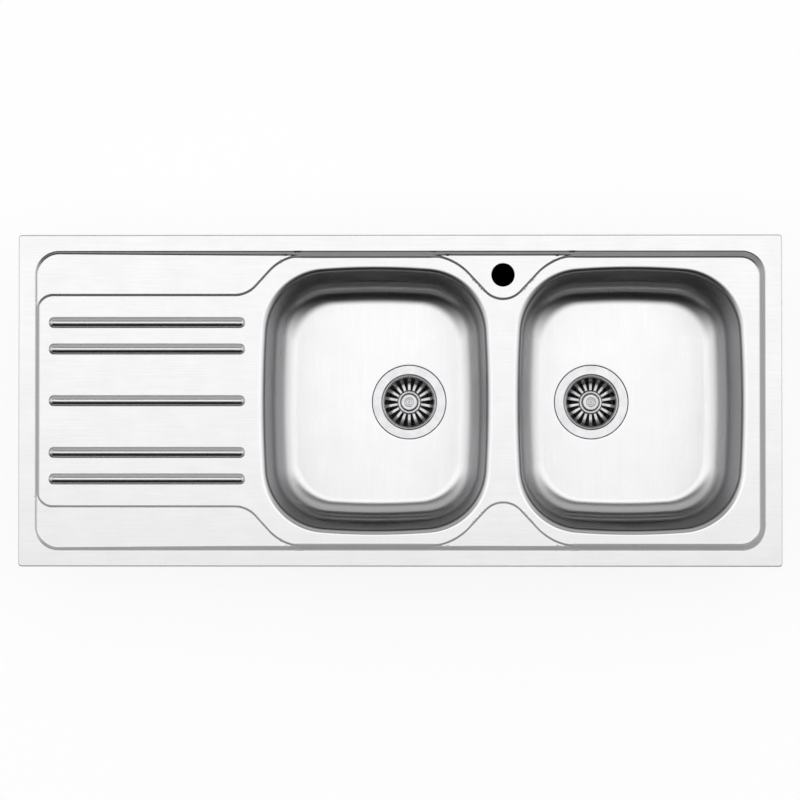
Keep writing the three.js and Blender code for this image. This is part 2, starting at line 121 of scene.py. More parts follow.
def buildWorld():
    world = bpy.data.worlds.new("studio")
    scene.world = world
    world.use_nodes = True
    tree = world.node_tree
    tree.nodes.clear()
    ray = newNode(tree, "ShaderNodeTexCoord").outputs["Generated"]
    x, y, z = newNode(tree, "ShaderNodeSeparateXYZ", {0: ray}).outputs
    up = maths(tree, "MAXIMUM", z, studio["flattest"])
    toSide = maths(tree, "ABSOLUTE", maths(tree, "DIVIDE", x, up))
    toBack = maths(tree, "DIVIDE", y, up)
    toFront = maths(tree, "MULTIPLY", toBack, -1.0)
    panel = smoothRange(tree, toSide, *studio["toSide"], studio["panel"], 0.0)
    for way, name in ((toBack, "toBack"), (toFront, "toFront")):
        panel = maths(tree, "MULTIPLY", panel, smoothRange(tree, way, *studio[name], 1.0, 0.0))
    start, end, least = studio["frontEdge"]
    panel = maths(tree, "MULTIPLY", panel, smoothRange(tree, toFront, start, end, 1.0, least))
    back = smoothRange(tree, y, *studio["backFrom"], studio["frontWall"], studio["backWall"])
    side = maths(tree, "MULTIPLY", smoothRange(tree, maths(tree, "ABSOLUTE", x), *studio["sideFrom"]),
                 smoothRange(tree, y, *studio["sideFront"]))
    sideLow, sideHigh = studio["sideWall"]
    side = maths(tree, "MULTIPLY", side, maths(tree, "MULTIPLY_ADD", z, sideHigh, sideLow))
    high = maths(tree, "MAXIMUM", panel, maths(tree, "MAXIMUM", back, side))
    share = smoothRange(tree, z, *studio["low"], 1.0, 0.0)  # towards the horizon all walls are alike
    horizon = smoothRange(tree, y, *studio["horizonFrom"], *studio["horizon"])
    glow = maths(tree, "MULTIPLY_ADD", share, horizon,
                 maths(tree, "MULTIPLY", high, maths(tree, "SUBTRACT", 1.0, share)))
    lit = newNode(tree, "ShaderNodeBackground", {"Color": (*studio["colour"], 1), "Strength": glow})
    plain = newNode(tree, "ShaderNodeBackground", {"Color": (1, 1, 1, 1), "Strength": 1.0})
    seen = newNode(tree, "ShaderNodeLightPath").outputs["Is Camera Ray"]
    mix = newNode(tree, "ShaderNodeMixShader", {0: seen, 1: lit.outputs[0], 2: plain.outputs[0]})
    newNode(tree, "ShaderNodeOutputWorld", {"Surface": mix.outputs[0]})


# soft lamps for what isn't metal, kept out of the reflections: place, size and power
lamps = {
    "above": ((0.0, 0.3, 3.2), (3.0, 3.0), 62.0), "front": ((0.0, -3.4, 1.3), (3.0, 1.6), 26.0),
    "behind": ((0.0, 3.4, 1.3), (3.0, 1.6), 26.0),
}
lampAim = Vector((0, 0, -0.1))


def buildLamps():
    for name, (place, size, power) in lamps.items():
        data = bpy.data.lights.new(name, "AREA")
        data.shape, data.size, data.size_y, data.energy = "RECTANGLE", *size, power
        lamp = bpy.data.objects.new(name, data)
        lamp.location = place
        lamp.rotation_euler = (lampAim - Vector(place)).to_track_quat("-Z", "Y").to_euler()
        lamp.visible_glossy = lamp.visible_camera = False
        scene.collection.objects.link(lamp)


buildLamps()
buildWorld()
print("studio ready")


# materials
def newMaterial(name):
    material = bpy.data.materials.new(name)
    material.use_nodes = True
    tree = material.node_tree
    tree.nodes.clear()
    shader = newNode(tree, "ShaderNodeBsdfPrincipled")
    newNode(tree, "ShaderNodeOutputMaterial", {"Surface": shader.outputs[0]})
    return material, tree, shader


def objectPoint(tree, scale=(1, 1, 1)):
    point = newNode(tree, "ShaderNodeTexCoord").outputs["Object"]
    return newNode(tree, "ShaderNodeMapping", {"Vector": point, "Scale": scale}).outputs[0]


def noise(tree, point, scale, detail=3.0, roughness=0.5):
    return newNode(tree, "ShaderNodeTexNoise", {
        "Vector": point, "Scale": scale, "Detail": detail, "Roughness": roughness}).outputs["Fac"]


def tone(tree, factor, dark, light):
    node = newNode(tree, "ShaderNodeMix", data_type="RGBA")
    tree.links.new(factor, node.inputs["Factor"])
    node.inputs["A"].default_value = (*dark, 1)
    node.inputs["B"].default_value = (*light, 1)
    return node.outputs["Result"]


def blend(tree, first, second, share):
    # share of the first pattern, the rest of the second
    return maths(tree, "MULTIPLY_ADD", first, share, maths(tree, "MULTIPLY", second, round(1.0 - share, 3)))


def bumped(tree, shader, height, distance):
    bump = newNode(tree, "ShaderNodeBump", {"Height": height, "Distance": distance})
    tree.links.new(bump.outputs[0], shader.inputs["Normal"])


brushedFinish = {
    "dark": (0.70, 0.694, 0.695), "light": (0.722, 0.716, 0.717), "roughness": (0.21, 0.25),
    "grainShare": 0.65, "grainDepth": 6e-7, "cloud": 22.0, "wave": 5.0, "waveDepth": 3e-5,
    "edge": (0.75, 0.75, 0.76),
}


def brushedSteel(name, grain, finish=brushedFinish, brushMap=None):
    material, tree, shader = newMaterial(name)
    brushed = noise(tree, objectPoint(tree, grain), 1.0, 4.0, 0.65)
    cloudy = noise(tree, objectPoint(tree), finish["cloud"], 4.0, 0.6)
    waves = noise(tree, objectPoint(tree), finish["wave"], 1.0)
    mixed = blend(tree, brushed, cloudy, finish["grainShare"])
    colour = tone(tree, smoothRange(tree, mixed, 0.3, 0.7), finish["dark"], finish["light"])
    if brushMap:
        # reflections spread across the brush lines, and painted shade darkens the colour of the upper wall,
        # fading out just below the flange
        along = newNode(tree, "ShaderNodeTangent", direction_type="UV_MAP", uv_map=brushMap)
        tree.links.new(along.outputs[0], shader.inputs["Tangent"])
        shader.inputs["Anisotropic"].default_value = finish["spread"]
        height = newNode(tree, "ShaderNodeSeparateXYZ", {0: objectPoint(tree)}).outputs["Z"]
        # painted shade: a band over the upper wall where the colour is multiplied darker
        wallShadeMask = maths(tree, "MULTIPLY", smoothRange(tree, height, *finish["wallShadeFoot"]),
                          smoothRange(tree, height, *finish["wallShadeTop"], 1.0, 0.0))
        wallShaded = newNode(tree, "ShaderNodeMix", data_type="RGBA", blend_type="MULTIPLY")
        tree.links.new(wallShadeMask, wallShaded.inputs["Factor"])
        tree.links.new(colour, wallShaded.inputs["A"])
        wallShaded.inputs["B"].default_value = (*finish["wallShadeTone"], 1)
        colour = wallShaded.outputs["Result"]
    tree.links.new(colour, shader.inputs["Base Color"])
    tree.links.new(smoothRange(tree, mixed, 0.3, 0.7, finish["roughness"][1], finish["roughness"][0]),
                   shader.inputs["Roughness"])
    shader.inputs["Metallic"].default_value = 1.0
    shader.inputs["Specular Tint"].default_value = (*finish["edge"], 1)
    height = maths(tree, "MULTIPLY_ADD", brushed, finish["grainDepth"],
                   maths(tree, "MULTIPLY", waves, finish["waveDepth"]))
    bumped(tree, shader, height, 1.0)
    return material


def turnedSteel(name, finish):
    # polished on a lathe: faint rings about the outlet are too fine to see, so only soft smears stay
    material, tree, shader = newMaterial(name)
    smear = noise(tree, objectPoint(tree, finish["smear"]), 1.0, 4.0, 0.6)
    fine = noise(tree, objectPoint(tree), finish["fine"], 2.0)
    tree.links.new(tone(tree, smear, finish["dark"], finish["light"]), shader.inputs["Base Color"])
    tree.links.new(smoothRange(tree, smear, 0.3, 0.7, *finish["roughness"]), shader.inputs["Roughness"])
    shader.inputs["Metallic"].default_value = 1.0
    bumped(tree, shader, fine, finish["depth"])
    return material


zincFinish = {
    "dark": (0.46, 0.47, 0.49), "light": (0.66, 0.67, 0.69), "roughness": (0.46, 0.3), "depth": 1.5e-5,
    "spangle": 420.0, "spangleShare": 0.3, "haze": 90.0,
}


def zincPlate():
    material, tree, shader = newMaterial("zincPlate")
    spangle = newNode(tree, "ShaderNodeTexVoronoi", {
        "Vector": objectPoint(tree), "Scale": zincFinish["spangle"]}).outputs["Color"]
    grey = newNode(tree, "ShaderNodeSeparateColor", {0: spangle}).outputs[0]
    haze = noise(tree, objectPoint(tree), zincFinish["haze"], 4.0)
    mixed = blend(tree, grey, haze, zincFinish["spangleShare"])
    tree.links.new(tone(tree, mixed, zincFinish["dark"], zincFinish["light"]), shader.inputs["Base Color"])
    tree.links.new(smoothRange(tree, mixed, 0.2, 0.8, *zincFinish["roughness"]), shader.inputs["Roughness"])
    shader.inputs["Metallic"].default_value = 1.0
    bumped(tree, shader, haze, zincFinish["depth"])
    return material


rubberFinish = {
    "dark": (0.012, 0.012, 0.013), "light": (0.034, 0.034, 0.036), "roughness": (0.7, 0.52), "depth": 4e-5,
    "bloom": 70.0, "grit": 1400.0,
}


def blackRubber():
    material, tree, shader = newMaterial("blackRubber")
    bloom = noise(tree, objectPoint(tree), rubberFinish["bloom"], 5.0, 0.6)
    grit = noise(tree, objectPoint(tree), rubberFinish["grit"], 2.0)
    colour = tone(tree, bloom, rubberFinish["dark"], rubberFinish["light"])
    tree.links.new(colour, shader.inputs["Base Color"])
    tree.links.new(smoothRange(tree, bloom, 0.3, 0.7, *rubberFinish["roughness"]), shader.inputs["Roughness"])
    bumped(tree, shader, grit, rubberFinish["depth"])
    return material


foamFinish = {
    "dark": (0.035, 0.036, 0.04), "light": (0.115, 0.118, 0.125), "roughness": 0.92, "depth": 1.6e-4,
    "cells": 1100.0, "cellShare": 0.6, "patch": 120.0,
}


def greyFoam():
    material, tree, shader = newMaterial("greyFoam")
    cells = newNode(tree, "ShaderNodeTexVoronoi", {
        "Vector": objectPoint(tree), "Scale": foamFinish["cells"]}).outputs["Distance"]
    patch = noise(tree, objectPoint(tree), foamFinish["patch"], 3.0)
    mixed = blend(tree, cells, patch, foamFinish["cellShare"])
    tree.links.new(tone(tree, mixed, foamFinish["dark"], foamFinish["light"]), shader.inputs["Base Color"])
    shader.inputs["Roughness"].default_value = foamFinish["roughness"]
    bumped(tree, shader, cells, foamFinish["depth"])
    return material


plasticFinish = {
    "dark": (0.74, 0.74, 0.72), "light": (0.82, 0.82, 0.80), "roughness": (0.46, 0.36), "depth": 2.5e-5,
    "cloud": 35.0, "spark": 1600.0, "glow": 0.06, "glowReach": (0.004, 0.003, 0.002),
}


def whitePlastic():
    material, tree, shader = newMaterial("whitePlastic")
    cloud = noise(tree, objectPoint(tree), plasticFinish["cloud"], 3.0)
    spark = noise(tree, objectPoint(tree), plasticFinish["spark"], 2.0)
    colour = tone(tree, cloud, plasticFinish["dark"], plasticFinish["light"])
    roughness = smoothRange(tree, cloud, 0.3, 0.7, *plasticFinish["roughness"])
    tree.links.new(colour, shader.inputs["Base Color"])
    tree.links.new(roughness, shader.inputs["Roughness"])
    shader.inputs["Subsurface Weight"].default_value = plasticFinish["glow"]
    shader.inputs["Subsurface Radius"].default_value = plasticFinish["glowReach"]
    bumped(tree, shader, spark, plasticFinish["depth"])
    return material


padFinish = {
    "dark": (0.09, 0.093, 0.097), "light": (0.19, 0.193, 0.2), "roughness": 0.86, "depth": 2.5e-4,
    "felt": 420.0, "feltShare": 0.6, "patch": 28.0,
}


def greyPad():
    material, tree, shader = newMaterial("greyPad")
    felt = noise(tree, objectPoint(tree), padFinish["felt"], 5.0, 0.7)
    patch = noise(tree, objectPoint(tree), padFinish["patch"], 3.0)
    mixed = smoothRange(tree, blend(tree, felt, patch, padFinish["feltShare"]), 0.3, 0.7)
    tree.links.new(tone(tree, mixed, padFinish["dark"], padFinish["light"]), shader.inputs["Base Color"])
    shader.inputs["Roughness"].default_value = padFinish["roughness"]
    bumped(tree, shader, felt, padFinish["depth"])
    return material


deckSteel = brushedSteel("deckSteel", (14, 900, 900))
bowlFinish = {
    **brushedFinish, "dark": (0.745, 0.739, 0.741), "light": (0.767, 0.761, 0.763), "roughness": (0.27, 0.30),
    "grainDepth": 2.5e-7, "spread": 0.78,
    # painted shade: the colour of the upper bowl wall is darkened between these two heights, by this tone
    "wallShadeFoot": (-0.15, -0.11), "wallShadeTop": (-0.0055, -0.0016), "wallShadeTone": (0.46, 0.46, 0.465),
}
bowlSteel = brushedSteel("bowlSteel", (900, 14, 900), bowlFinish, "brush")
wasteFinish = {
    "dark": (0.63, 0.625, 0.63), "light": (0.69, 0.685, 0.69), "roughness": (0.27, 0.2), "depth": 1.5e-6,
    "smear": (60, 60, 220), "fine": 900.0,
}
wasteSteel = turnedSteel("wasteSteel", wasteFinish)
basketFinish = {
    **wasteFinish, "dark": (0.58, 0.575, 0.58), "light": (0.68, 0.675, 0.68), "roughness": (0.32, 0.24),
}
basketSteel = turnedSteel("basketSteel", basketFinish)
zincMetal = zincPlate()
rubberBlack = blackRubber()
foamGrey = greyFoam()
plasticWhite = whitePlastic()
padGrey = greyPad()
print("materials ready")


# floor under the lowest point of the sink, with a painted shadow: a dark spot, seen by camera rays only,
# where the camera looks down through the tap hole
floor = {
    "reach": 14.0, "colour": (0.86, 0.86, 0.86), "kept": 0.15,  # kept: how much of the shading shows in white
    "gap": 0.0005, "shadeSpot": (0.1631, 0.2059), "shadeSpotEdge": (0.0196, 0.0235),
}


def buildFloor():
    mesh = bpy.data.meshes.new("floor")
    r = floor["reach"]
    mesh.from_pydata([(-r, -r, 0), (r, -r, 0), (r, r, 0), (-r, r, 0)], [], [(0, 1, 2, 3)])
    mesh.transform(Matrix.Translation((0, 0, cadBox[0][2] - floor["gap"])))
    floorObject = bpy.data.objects.new("floor", mesh)
    scene.collection.objects.link(floorObject)
    material = bpy.data.materials.new("paleFloor")
    material.use_nodes = True
    tree = material.node_tree
    tree.nodes.clear()
    pale = newNode(tree, "ShaderNodeBsdfDiffuse", {"Color": (*floor["colour"], 1)})
    white = newNode(tree, "ShaderNodeEmission", {"Color": (1, 1, 1, 1), "Strength": 1.0})
    seen = newNode(tree, "ShaderNodeLightPath").outputs["Is Camera Ray"]
    share = maths(tree, "MULTIPLY", seen, 1.0 - floor["kept"])
    lit = newNode(tree, "ShaderNodeMixShader", {0: share, 1: pale.outputs[0], 2: white.outputs[0]})
    x, y, _ = newNode(tree, "ShaderNodeSeparateXYZ", {
        0: newNode(tree, "ShaderNodeTexCoord").outputs["Object"]}).outputs
    offX, offY = (maths(tree, "SUBTRACT", at, middle) for at, middle in zip((x, y), floor["shadeSpot"]))
    off = maths(tree, "SQRT", maths(tree, "MULTIPLY_ADD", offX, offX, maths(tree, "MULTIPLY", offY, offY)))
    # painted shadow: camera rays see black in a soft disc under the tap hole
    shade = maths(tree, "MULTIPLY", seen, smoothRange(tree, off, *floor["shadeSpotEdge"], 1.0, 0.0))
    dark = newNode(tree, "ShaderNodeEmission", {"Color": (0, 0, 0, 1), "Strength": 0.0})
    shaded = newNode(tree, "ShaderNodeMixShader", {0: shade, 1: lit.outputs[0], 2: dark.outputs[0]})
    under = newNode(tree, "ShaderNodeNewGeometry").outputs["Backfacing"]
    clear = newNode(tree, "ShaderNodeBsdfTransparent")
    both = newNode(tree, "ShaderNodeMixShader", {0: under, 1: shaded.outputs[0], 2: clear.outputs[0]})
    newNode(tree, "ShaderNodeOutputMaterial", {"Surface": both.outputs[0]})
    mesh.materials.append(material)


buildFloor()


# outlines, as rows of (x, y)
def arcPoints(x, y, radius, start, end, steps):
    angle = np.linspace(start, end, steps + 1)
    return np.column_stack((x + radius * np.cos(angle), y + radius * np.sin(angle)))


def cornerArc(corners, i, inset, degrees=4):
    # arc that rounds corner i of a counter-clockwise polygon, after the sides move inwards
    x, y, radius = corners[i]
    into = np.array([x, y]) - corners[i - 1][:2]
    out = np.array(corners[(i + 1) % len(corners)][:2]) - [x, y]
    into, out = into / np.linalg.norm(into), out / np.linalg.norm(out)
    left, leftOut = np.array([-into[1], into[0]]), np.array([-out[1], out[0]])
    turn = math.atan2(into[0] * out[1] - into[1] * out[0], into @ out)
    side = math.copysign(1, turn)
    r = radius - side * inset
    corner = np.array([x, y]) + (left + leftOut) * inset / (1 + left @ leftOut)
    centre = corner - into * r * math.tan(abs(turn) / 2) + left * side * r
    start = math.atan2(-side * left[1], -side * left[0])
    steps = max(24 // degrees, math.ceil(abs(turn) / math.radians(degrees)))  # fine outlines keep six or more
    return arcPoints(*centre, r, start, start + turn, steps)


def roundedOutline(corners, inset=0.0, spacing=0.005):
    # straight runs are cut alike at every inset, so that rings of one outline line up
    rows = []
    for i in range(len(corners)):
        j = (i + 1) % len(corners)
        here, there = cornerArc(corners, i, inset), cornerArc(corners, j, inset)
        run = np.linalg.norm(cornerArc(corners, j, 0)[0] - cornerArc(corners, i, 0)[-1])
        cuts = max(1, math.ceil(run / spacing))
        rows += [here, np.linspace(here[-1], there[0], cuts + 1)[1:-1]]
    return np.vstack(rows)


def rectangle(halfX, halfY, radius):
    return [(x * halfX, y * halfY, radius) for x, y in ((1, -1), (1, 1), (-1, 1), (-1, -1))]


def insideDistance(points, outline):
    # distance to the outline, positive inside it
    a, b = outline, np.roll(outline, -1, axis=0)
    run = b - a
    length = np.maximum((run * run).sum(1), 1e-18)
    result = np.empty(len(points))
    for first in range(0, len(points), 2000):
        p = points[first:first + 2000, None, :]
        share = np.clip(((p - a) * run).sum(2) / length, 0, 1)
        near = np.sqrt((((a + share[..., None] * run) - p) ** 2).sum(2).min(1))
        crosses = (a[:, 1] > p[..., 1]) != (b[:, 1] > p[..., 1])
        rise = np.where(run[:, 1] == 0, 1e-18, run[:, 1])
        reach = a[:, 0] + (p[..., 1] - a[:, 1]) * run[:, 0] / rise
        odd = (crosses & (p[..., 0] < reach)).sum(1) % 2
        result[first:first + 2000] = np.where(odd == 1, near, -near)
    return result


# mesh helpers
def newObject(name, mesh, material=None):
    made = bpy.data.objects.new(name, mesh)
    scene.collection.objects.link(made)
    if material:
        mesh.materials.clear()
        mesh.materials.append(material)
    return made


def meshFrom(name, points, faces):
    mesh = bpy.data.meshes.new(name)
    mesh.from_pydata([tuple(p) for p in points], [], [tuple(f) for f in faces])
    mesh.update()
    return mesh


def baked(source, name):
    # plain mesh of an object with its modifiers, which are then cleared from the object
    graph = bpy.context.evaluated_depsgraph_get()
    mesh = bpy.data.meshes.new_from_object(source.evaluated_get(graph), depsgraph=graph)
    mesh.name = name
    source.modifiers.clear()
    return mesh


def outwards(mesh):
    work = bmesh.new()
    work.from_mesh(mesh)
    bmesh.ops.remove_doubles(work, verts=work.verts, dist=1e-7)
    bmesh.ops.recalc_face_normals(work, faces=work.faces)
    work.to_mesh(mesh)
    work.free()
    return mesh


def softened(name, mesh, material, sharpAngle=40, bevel=0.0, segments=2):
    # smooth shading that keeps flats flat, with an optional small bevel on the sharp edges
    made = newObject(name, mesh, material)
    mesh.shade_smooth()
    if bevel:
        cut = made.modifiers.new("bevel", "BEVEL")
        cut.width, cut.segments = bevel, segments
        cut.limit_method, cut.angle_limit = "ANGLE", math.radians(sharpAngle)
        cut.use_clamp_overlap = True
    else:
        mesh.set_sharp_from_angle(angle=math.radians(sharpAngle))
    weigh = made.modifiers.new("weigh", "WEIGHTED_NORMAL")
    weigh.weight, weigh.keep_sharp = 50, True
    made.data = baked(made, name)
    bpy.data.meshes.remove(mesh)
    return made


def standsFor(piece, body, slot, *nodes):
    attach(piece, body)
    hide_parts(*nodes)


def setInputs(modifier, values):
    # a modifier's inputs go by the socket's identifier
    for item in modifier.node_group.interface.items_tree:
        if item.item_type == "SOCKET" and item.in_out == "INPUT" and item.name in values:
            modifier[item.identifier] = values[item.name]


def withModifier(name, mesh, kind, **settings):
    # the mesh as one modifier leaves it
    source = newObject(name, mesh)
    modifier = source.modifiers.new(kind.lower(), kind)
    inputs = settings.pop("inputs", None)
    for key, value in settings.items():
        setattr(modifier, key, value)
    if inputs:
        setInputs(modifier, inputs)
    result = baked(source, name)
    bpy.data.objects.remove(source)
    bpy.data.meshes.remove(mesh)
    return result


def newTree(name, inputs):
    tree = bpy.data.node_groups.new(name, "GeometryNodeTree")
    tree.is_modifier = True
    for label, kind, start in inputs:
        socket = tree.interface.new_socket(label, in_out="INPUT", socket_type="NodeSocket" + kind)
        if start is not None:
            socket.default_value = start
    tree.interface.new_socket("Geometry", in_out="OUTPUT", socket_type="NodeSocketGeometry")
    return tree, tree.nodes.new("NodeGroupInput").outputs


def finishTree(tree, geometry, material):
    real = newNode(tree, "GeometryNodeRealizeInstances", {"Geometry": geometry})
    painted = newNode(tree, "GeometryNodeSetMaterial", {"Geometry": real.outputs[0], "Material": material})
    newNode(tree, "NodeGroupOutput", {"Geometry": painted.outputs[0]})
    return tree


# loft: rings that run from one outline to the next as a section tells
def loftTree(stops):
    tree, given = newTree("loft", [
        ("Geometry", "Geometry", None), ("Section", "Object", None),
        ("Closed section", "Int", 1), ("Material", "Material", None)])
    section = newNode(tree, "GeometryNodeObjectInfo", {"Object": given["Section"]}).outputs["Geometry"]
    ringCount, rowCount = (
        newNode(tree, "GeometryNodeAttributeDomainSize", {0: points}).outputs["Point Count"]
        for points in (given["Geometry"], section))
    columns = maths(tree, "ADD", ringCount, 1)
    rows = maths(tree, "ADD", rowCount, given["Closed section"])
    grid = newNode(tree, "GeometryNodeMeshGrid", {"Vertices X": columns, "Vertices Y": rows}).outputs["Mesh"]
    index = newNode(tree, "GeometryNodeInputIndex").outputs[0]
    column = maths(tree, "MODULO", maths(tree, "FLOOR", maths(tree, "DIVIDE", index, rows)), ringCount)
    row = maths(tree, "MODULO", maths(tree, "MODULO", index, rows), rowCount)

    def sampled(geometry, field, at, kind="FLOAT_VECTOR"):
        return newNode(tree, "GeometryNodeSampleIndex", data_type=kind, domain="POINT",
                       values={"Geometry": geometry, "Value": field, "Index": at}).outputs[0]

    position = newNode(tree, "GeometryNodeInputPosition").outputs[0]
    cut = newNode(tree, "ShaderNodeSeparateXYZ", {0: sampled(section, position, row)}).outputs
    place = sampled(given["Geometry"], position, column)
    for i in range(1, stops):
        named = newNode(tree, "GeometryNodeInputNamedAttribute", data_type="FLOAT_VECTOR",
                        values={"Name": f"outline{i}"}).outputs["Attribute"]
        past = maths(tree, "SUBTRACT", cut["X"], i - 1)
        share = newNode(tree, "ShaderNodeClamp", {"Value": past}).outputs[0]
        mix = newNode(tree, "ShaderNodeMix", data_type="VECTOR")
        tree.links.new(share, mix.inputs[0])
        tree.links.new(place, mix.inputs[4])
        tree.links.new(sampled(given["Geometry"], named, column), mix.inputs[5])
        place = mix.outputs[1]
    height = newNode(tree, "ShaderNodeCombineXYZ", {"Z": cut["Z"]}).outputs[0]
    lifted = newNode(tree, "ShaderNodeVectorMath", {0: place, 1: height}, operation="ADD").outputs[0]
    moved = newNode(tree, "GeometryNodeSetPosition", {"Geometry": grid, "Position": lifted}).outputs[0]
    welded = newNode(tree, "GeometryNodeMergeByDistance", {"Geometry": moved, "Distance": 1e-6}).outputs[0]
    return finishTree(tree, welded, given["Material"])


loftTrees = {2: loftTree(2), 5: loftTree(5)}  # by the number of outlines


def loft(name, outlines, section, material, closed=True):
    # section rows are (share, height): share 0 is on the first outline, 1 on the second and so on
    ring = meshFrom(name + "Ring", [(x, y, 0) for x, y in outlines[0]], [])
    for i, outline in enumerate(outlines[1:], 1):
        held = ring.attributes.new(f"outline{i}", "FLOAT_VECTOR", "POINT")
        held.data.foreach_set("vector", np.column_stack((outline, np.zeros(len(outline)))).ravel())
    source = newObject(name + "Ring", ring)
    cut = newObject(name + "Section", meshFrom(name + "Section", [(s, 0, z) for s, z in section], []))
    modifier = source.modifiers.new("loft", "NODES")
    modifier.node_group = loftTrees[len(outlines)]
    setInputs(modifier, {"Section": cut, "Closed section": int(closed), "Material": material})
    mesh = outwards(baked(source, name))
    for used in (source, cut):
        data = used.data
        bpy.data.objects.remove(used)
        bpy.data.meshes.remove(data)
    return mesh


# bowls
bowl = {
    "pitch": 0.3845, "halfX": 0.1727, "halfY": 0.2001, "sideRadius": 1.83, "endRadius": 1.08,
    "corner": 0.096, "cornerTaper": 0.68, "depth": 0.16, "rollFrom": -0.0036, "roll": 0.0096, "draft": 3,
    "floorRadius": 0.0355, "flange": 0.004, "sheet": 0.001,
    "wasteRecess": 0.0586, "recessBase": 0.0573, "recessDepth": 0.003, "wasteHole": 0.0445,
    "floorStops": (0.15, 0.35, 0.6, 0.85, 0.97), "recessStops": 9,
}
tapX = 0.1555
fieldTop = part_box("bowl_left")[1].z
bowlX = {side: tapX + sign * bowl["pitch"] / 2 for side, sign in (("left", -1), ("right", 1))}
outletX = {side: sum(corner.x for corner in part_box(f"waste_flange_{side}")) / 2 for side in bowlX}


def bowlOutline(inset):
    # four shallow arcs, and between them corner arcs that run into both without a kink
    side, end = bowl["sideRadius"] - inset, bowl["endRadius"] - inset
    corner = bowl["corner"] - bowl["cornerTaper"] * inset
    sideX, endY = bowl["halfX"] - bowl["sideRadius"], bowl["halfY"] - bowl["endRadius"]
    ra, rb = side - corner, end - corner
    across = math.hypot(sideX, endY)
    along = (ra * ra - rb * rb + across * across) / (2 * across)
    off = math.sqrt(ra * ra - along * along)
    ux, uy = -sideX / across, endY / across
    cx, cy = sideX + along * ux - off * uy, along * uy + off * ux
    a, b = math.atan2(cy, cx - sideX), math.atan2(cy - endY, cx)
    pi = math.pi
    arcs = [
        (sideX, 0, side, -a, a, 26), (cx, cy, corner, a, b, 24),
        (0, endY, end, b, pi - b, 22), (-cx, cy, corner, pi - b, pi - a, 24),
        (-sideX, 0, side, pi - a, pi + a, 26), (-cx, -cy, corner, pi + a, pi + b, 24),
        (0, -endY, end, pi + b, 2 * pi - b, 22), (cx, -cy, corner, 2 * pi - b, 2 * pi - a, 24),
    ]
    return np.vstack([arcPoints(*arc)[:-1] for arc in arcs])


def wallSection(back):
    # (inset, depth) down the wet face for back 0, or down the face behind it for back = the sheet
    draft = math.radians(bowl["draft"])
    roll, floorRadius, depth = bowl["roll"], bowl["floorRadius"], bowl["depth"]
    reach = roll + floorRadius
    wall = (depth - reach + reach * math.sin(draft)) / math.cos(draft)
    floorX = bowl["rollFrom"] + reach * math.cos(draft) + wall * math.sin(draft)
    top = arcPoints(bowl["rollFrom"], -roll, roll - back, math.pi / 2, draft, 12)
    foot = arcPoints(floorX, floorRadius - depth, floorRadius + back, math.pi + draft, 1.5 * math.pi, 22)
    side = np.linspace(top[-1], foot[0], 10)[1:-1]
    return np.vstack((top, side, foot)), floorX


def buildBowl(side):
    sheet, flange = bowl["sheet"], bowl["flange"]
    section, floorX = wallSection(0)
    behind, _ = wallSection(sheet)
    outlines = [bowlOutline(-flange), bowlOutline(floorX)]
    offset = outletX[side] - bowlX[side]
    away = outlines[1] - [offset, 0]
    around = away / np.linalg.norm(away, axis=1)[:, None]
    outlines += [around * bowl[name] + [offset, 0] for name in ("wasteRecess", "recessBase", "wasteHole")]

    def faceRows(rows, back):
        # the flange, the wall, the floor, the recess of the waste and its hole
        wallRows = [((inset + flange) / (floorX + flange), z) for inset, z in rows]
        floorZ = -bowl["depth"] - back
        floorRows = [(1 + s, floorZ) for s in bowl["floorStops"]]
        # the press leaves a soft edge round the recess
        recess = [(2 + s, floorZ - bowl["recessDepth"] * s * s * (3 - 2 * s))
                  for s in np.linspace(0, 1, bowl["recessStops"])]
        recess += [(3.5, recess[-1][1]), (4, recess[-1][1])]
        return [(0, -back)] + wallRows + floorRows + recess

    rows = faceRows(section, 0) + faceRows(behind, sheet)[::-1]
    mesh = loft(f"bowl_{side}_mesh", outlines, rows, bowlSteel)
    mesh.transform(Matrix.Translation((bowlX[side], 0, fieldTop)))
    brush = mesh.uv_layers.new(name="brush")
    for loop in mesh.loops:
        brush.data[loop.index].uv = mesh.vertices[loop.vertex_index].co.xy
    made = softened(f"bowlShell_{side}", mesh, bowlSteel)
    standsFor(made, "sink", "brushed_steel", f"bowl_{side}")


for side in bowlX:
    buildBowl(side)
print("bowls ready")


# deck
deck = {
    "edgeRadius": 0.0018, "corner": 0.005, "lip": 0.0008, "lipRound": 0.0002, "sheet": 0.001,
    "band": 0.025, "ledgeCorner": 0.036, "ledgeAtEnd": 0.003, "ledgeDepth": 0.0055,
    "levelFrom": -0.216, "levelSoft": 0.25,  # the drainer falls as far as here, and eases into the level
    "fieldDepth": 0.003, "drainerHalf": 0.1605, "drainerCorner": 0.024, "past": 0.0008,
    "shoulder": (-0.231, -0.1766, 0.042, 0.072),  # from, to, inner and outer radius
    "valley": (47, 0.035, 0.087),  # slope, radius and shoulder radius
    "tapHole": (tapX, 0.1895, 0.0175),
    "tapEdge": ((0.0006, 0), (0.0003, 0.0001), (0.0001, 0.0003), (0, 0.0006)),  # out from the hole, and down
    "softEdge": 0.0009, "softFoot": 0.0011, "fieldSteep": 1.5, "flangeStrip": 0.008,
    "meetingStrip": (-0.0033, 0.0047), "meetingSlack": 0.0004, "stepsApart": 0.0135,
}
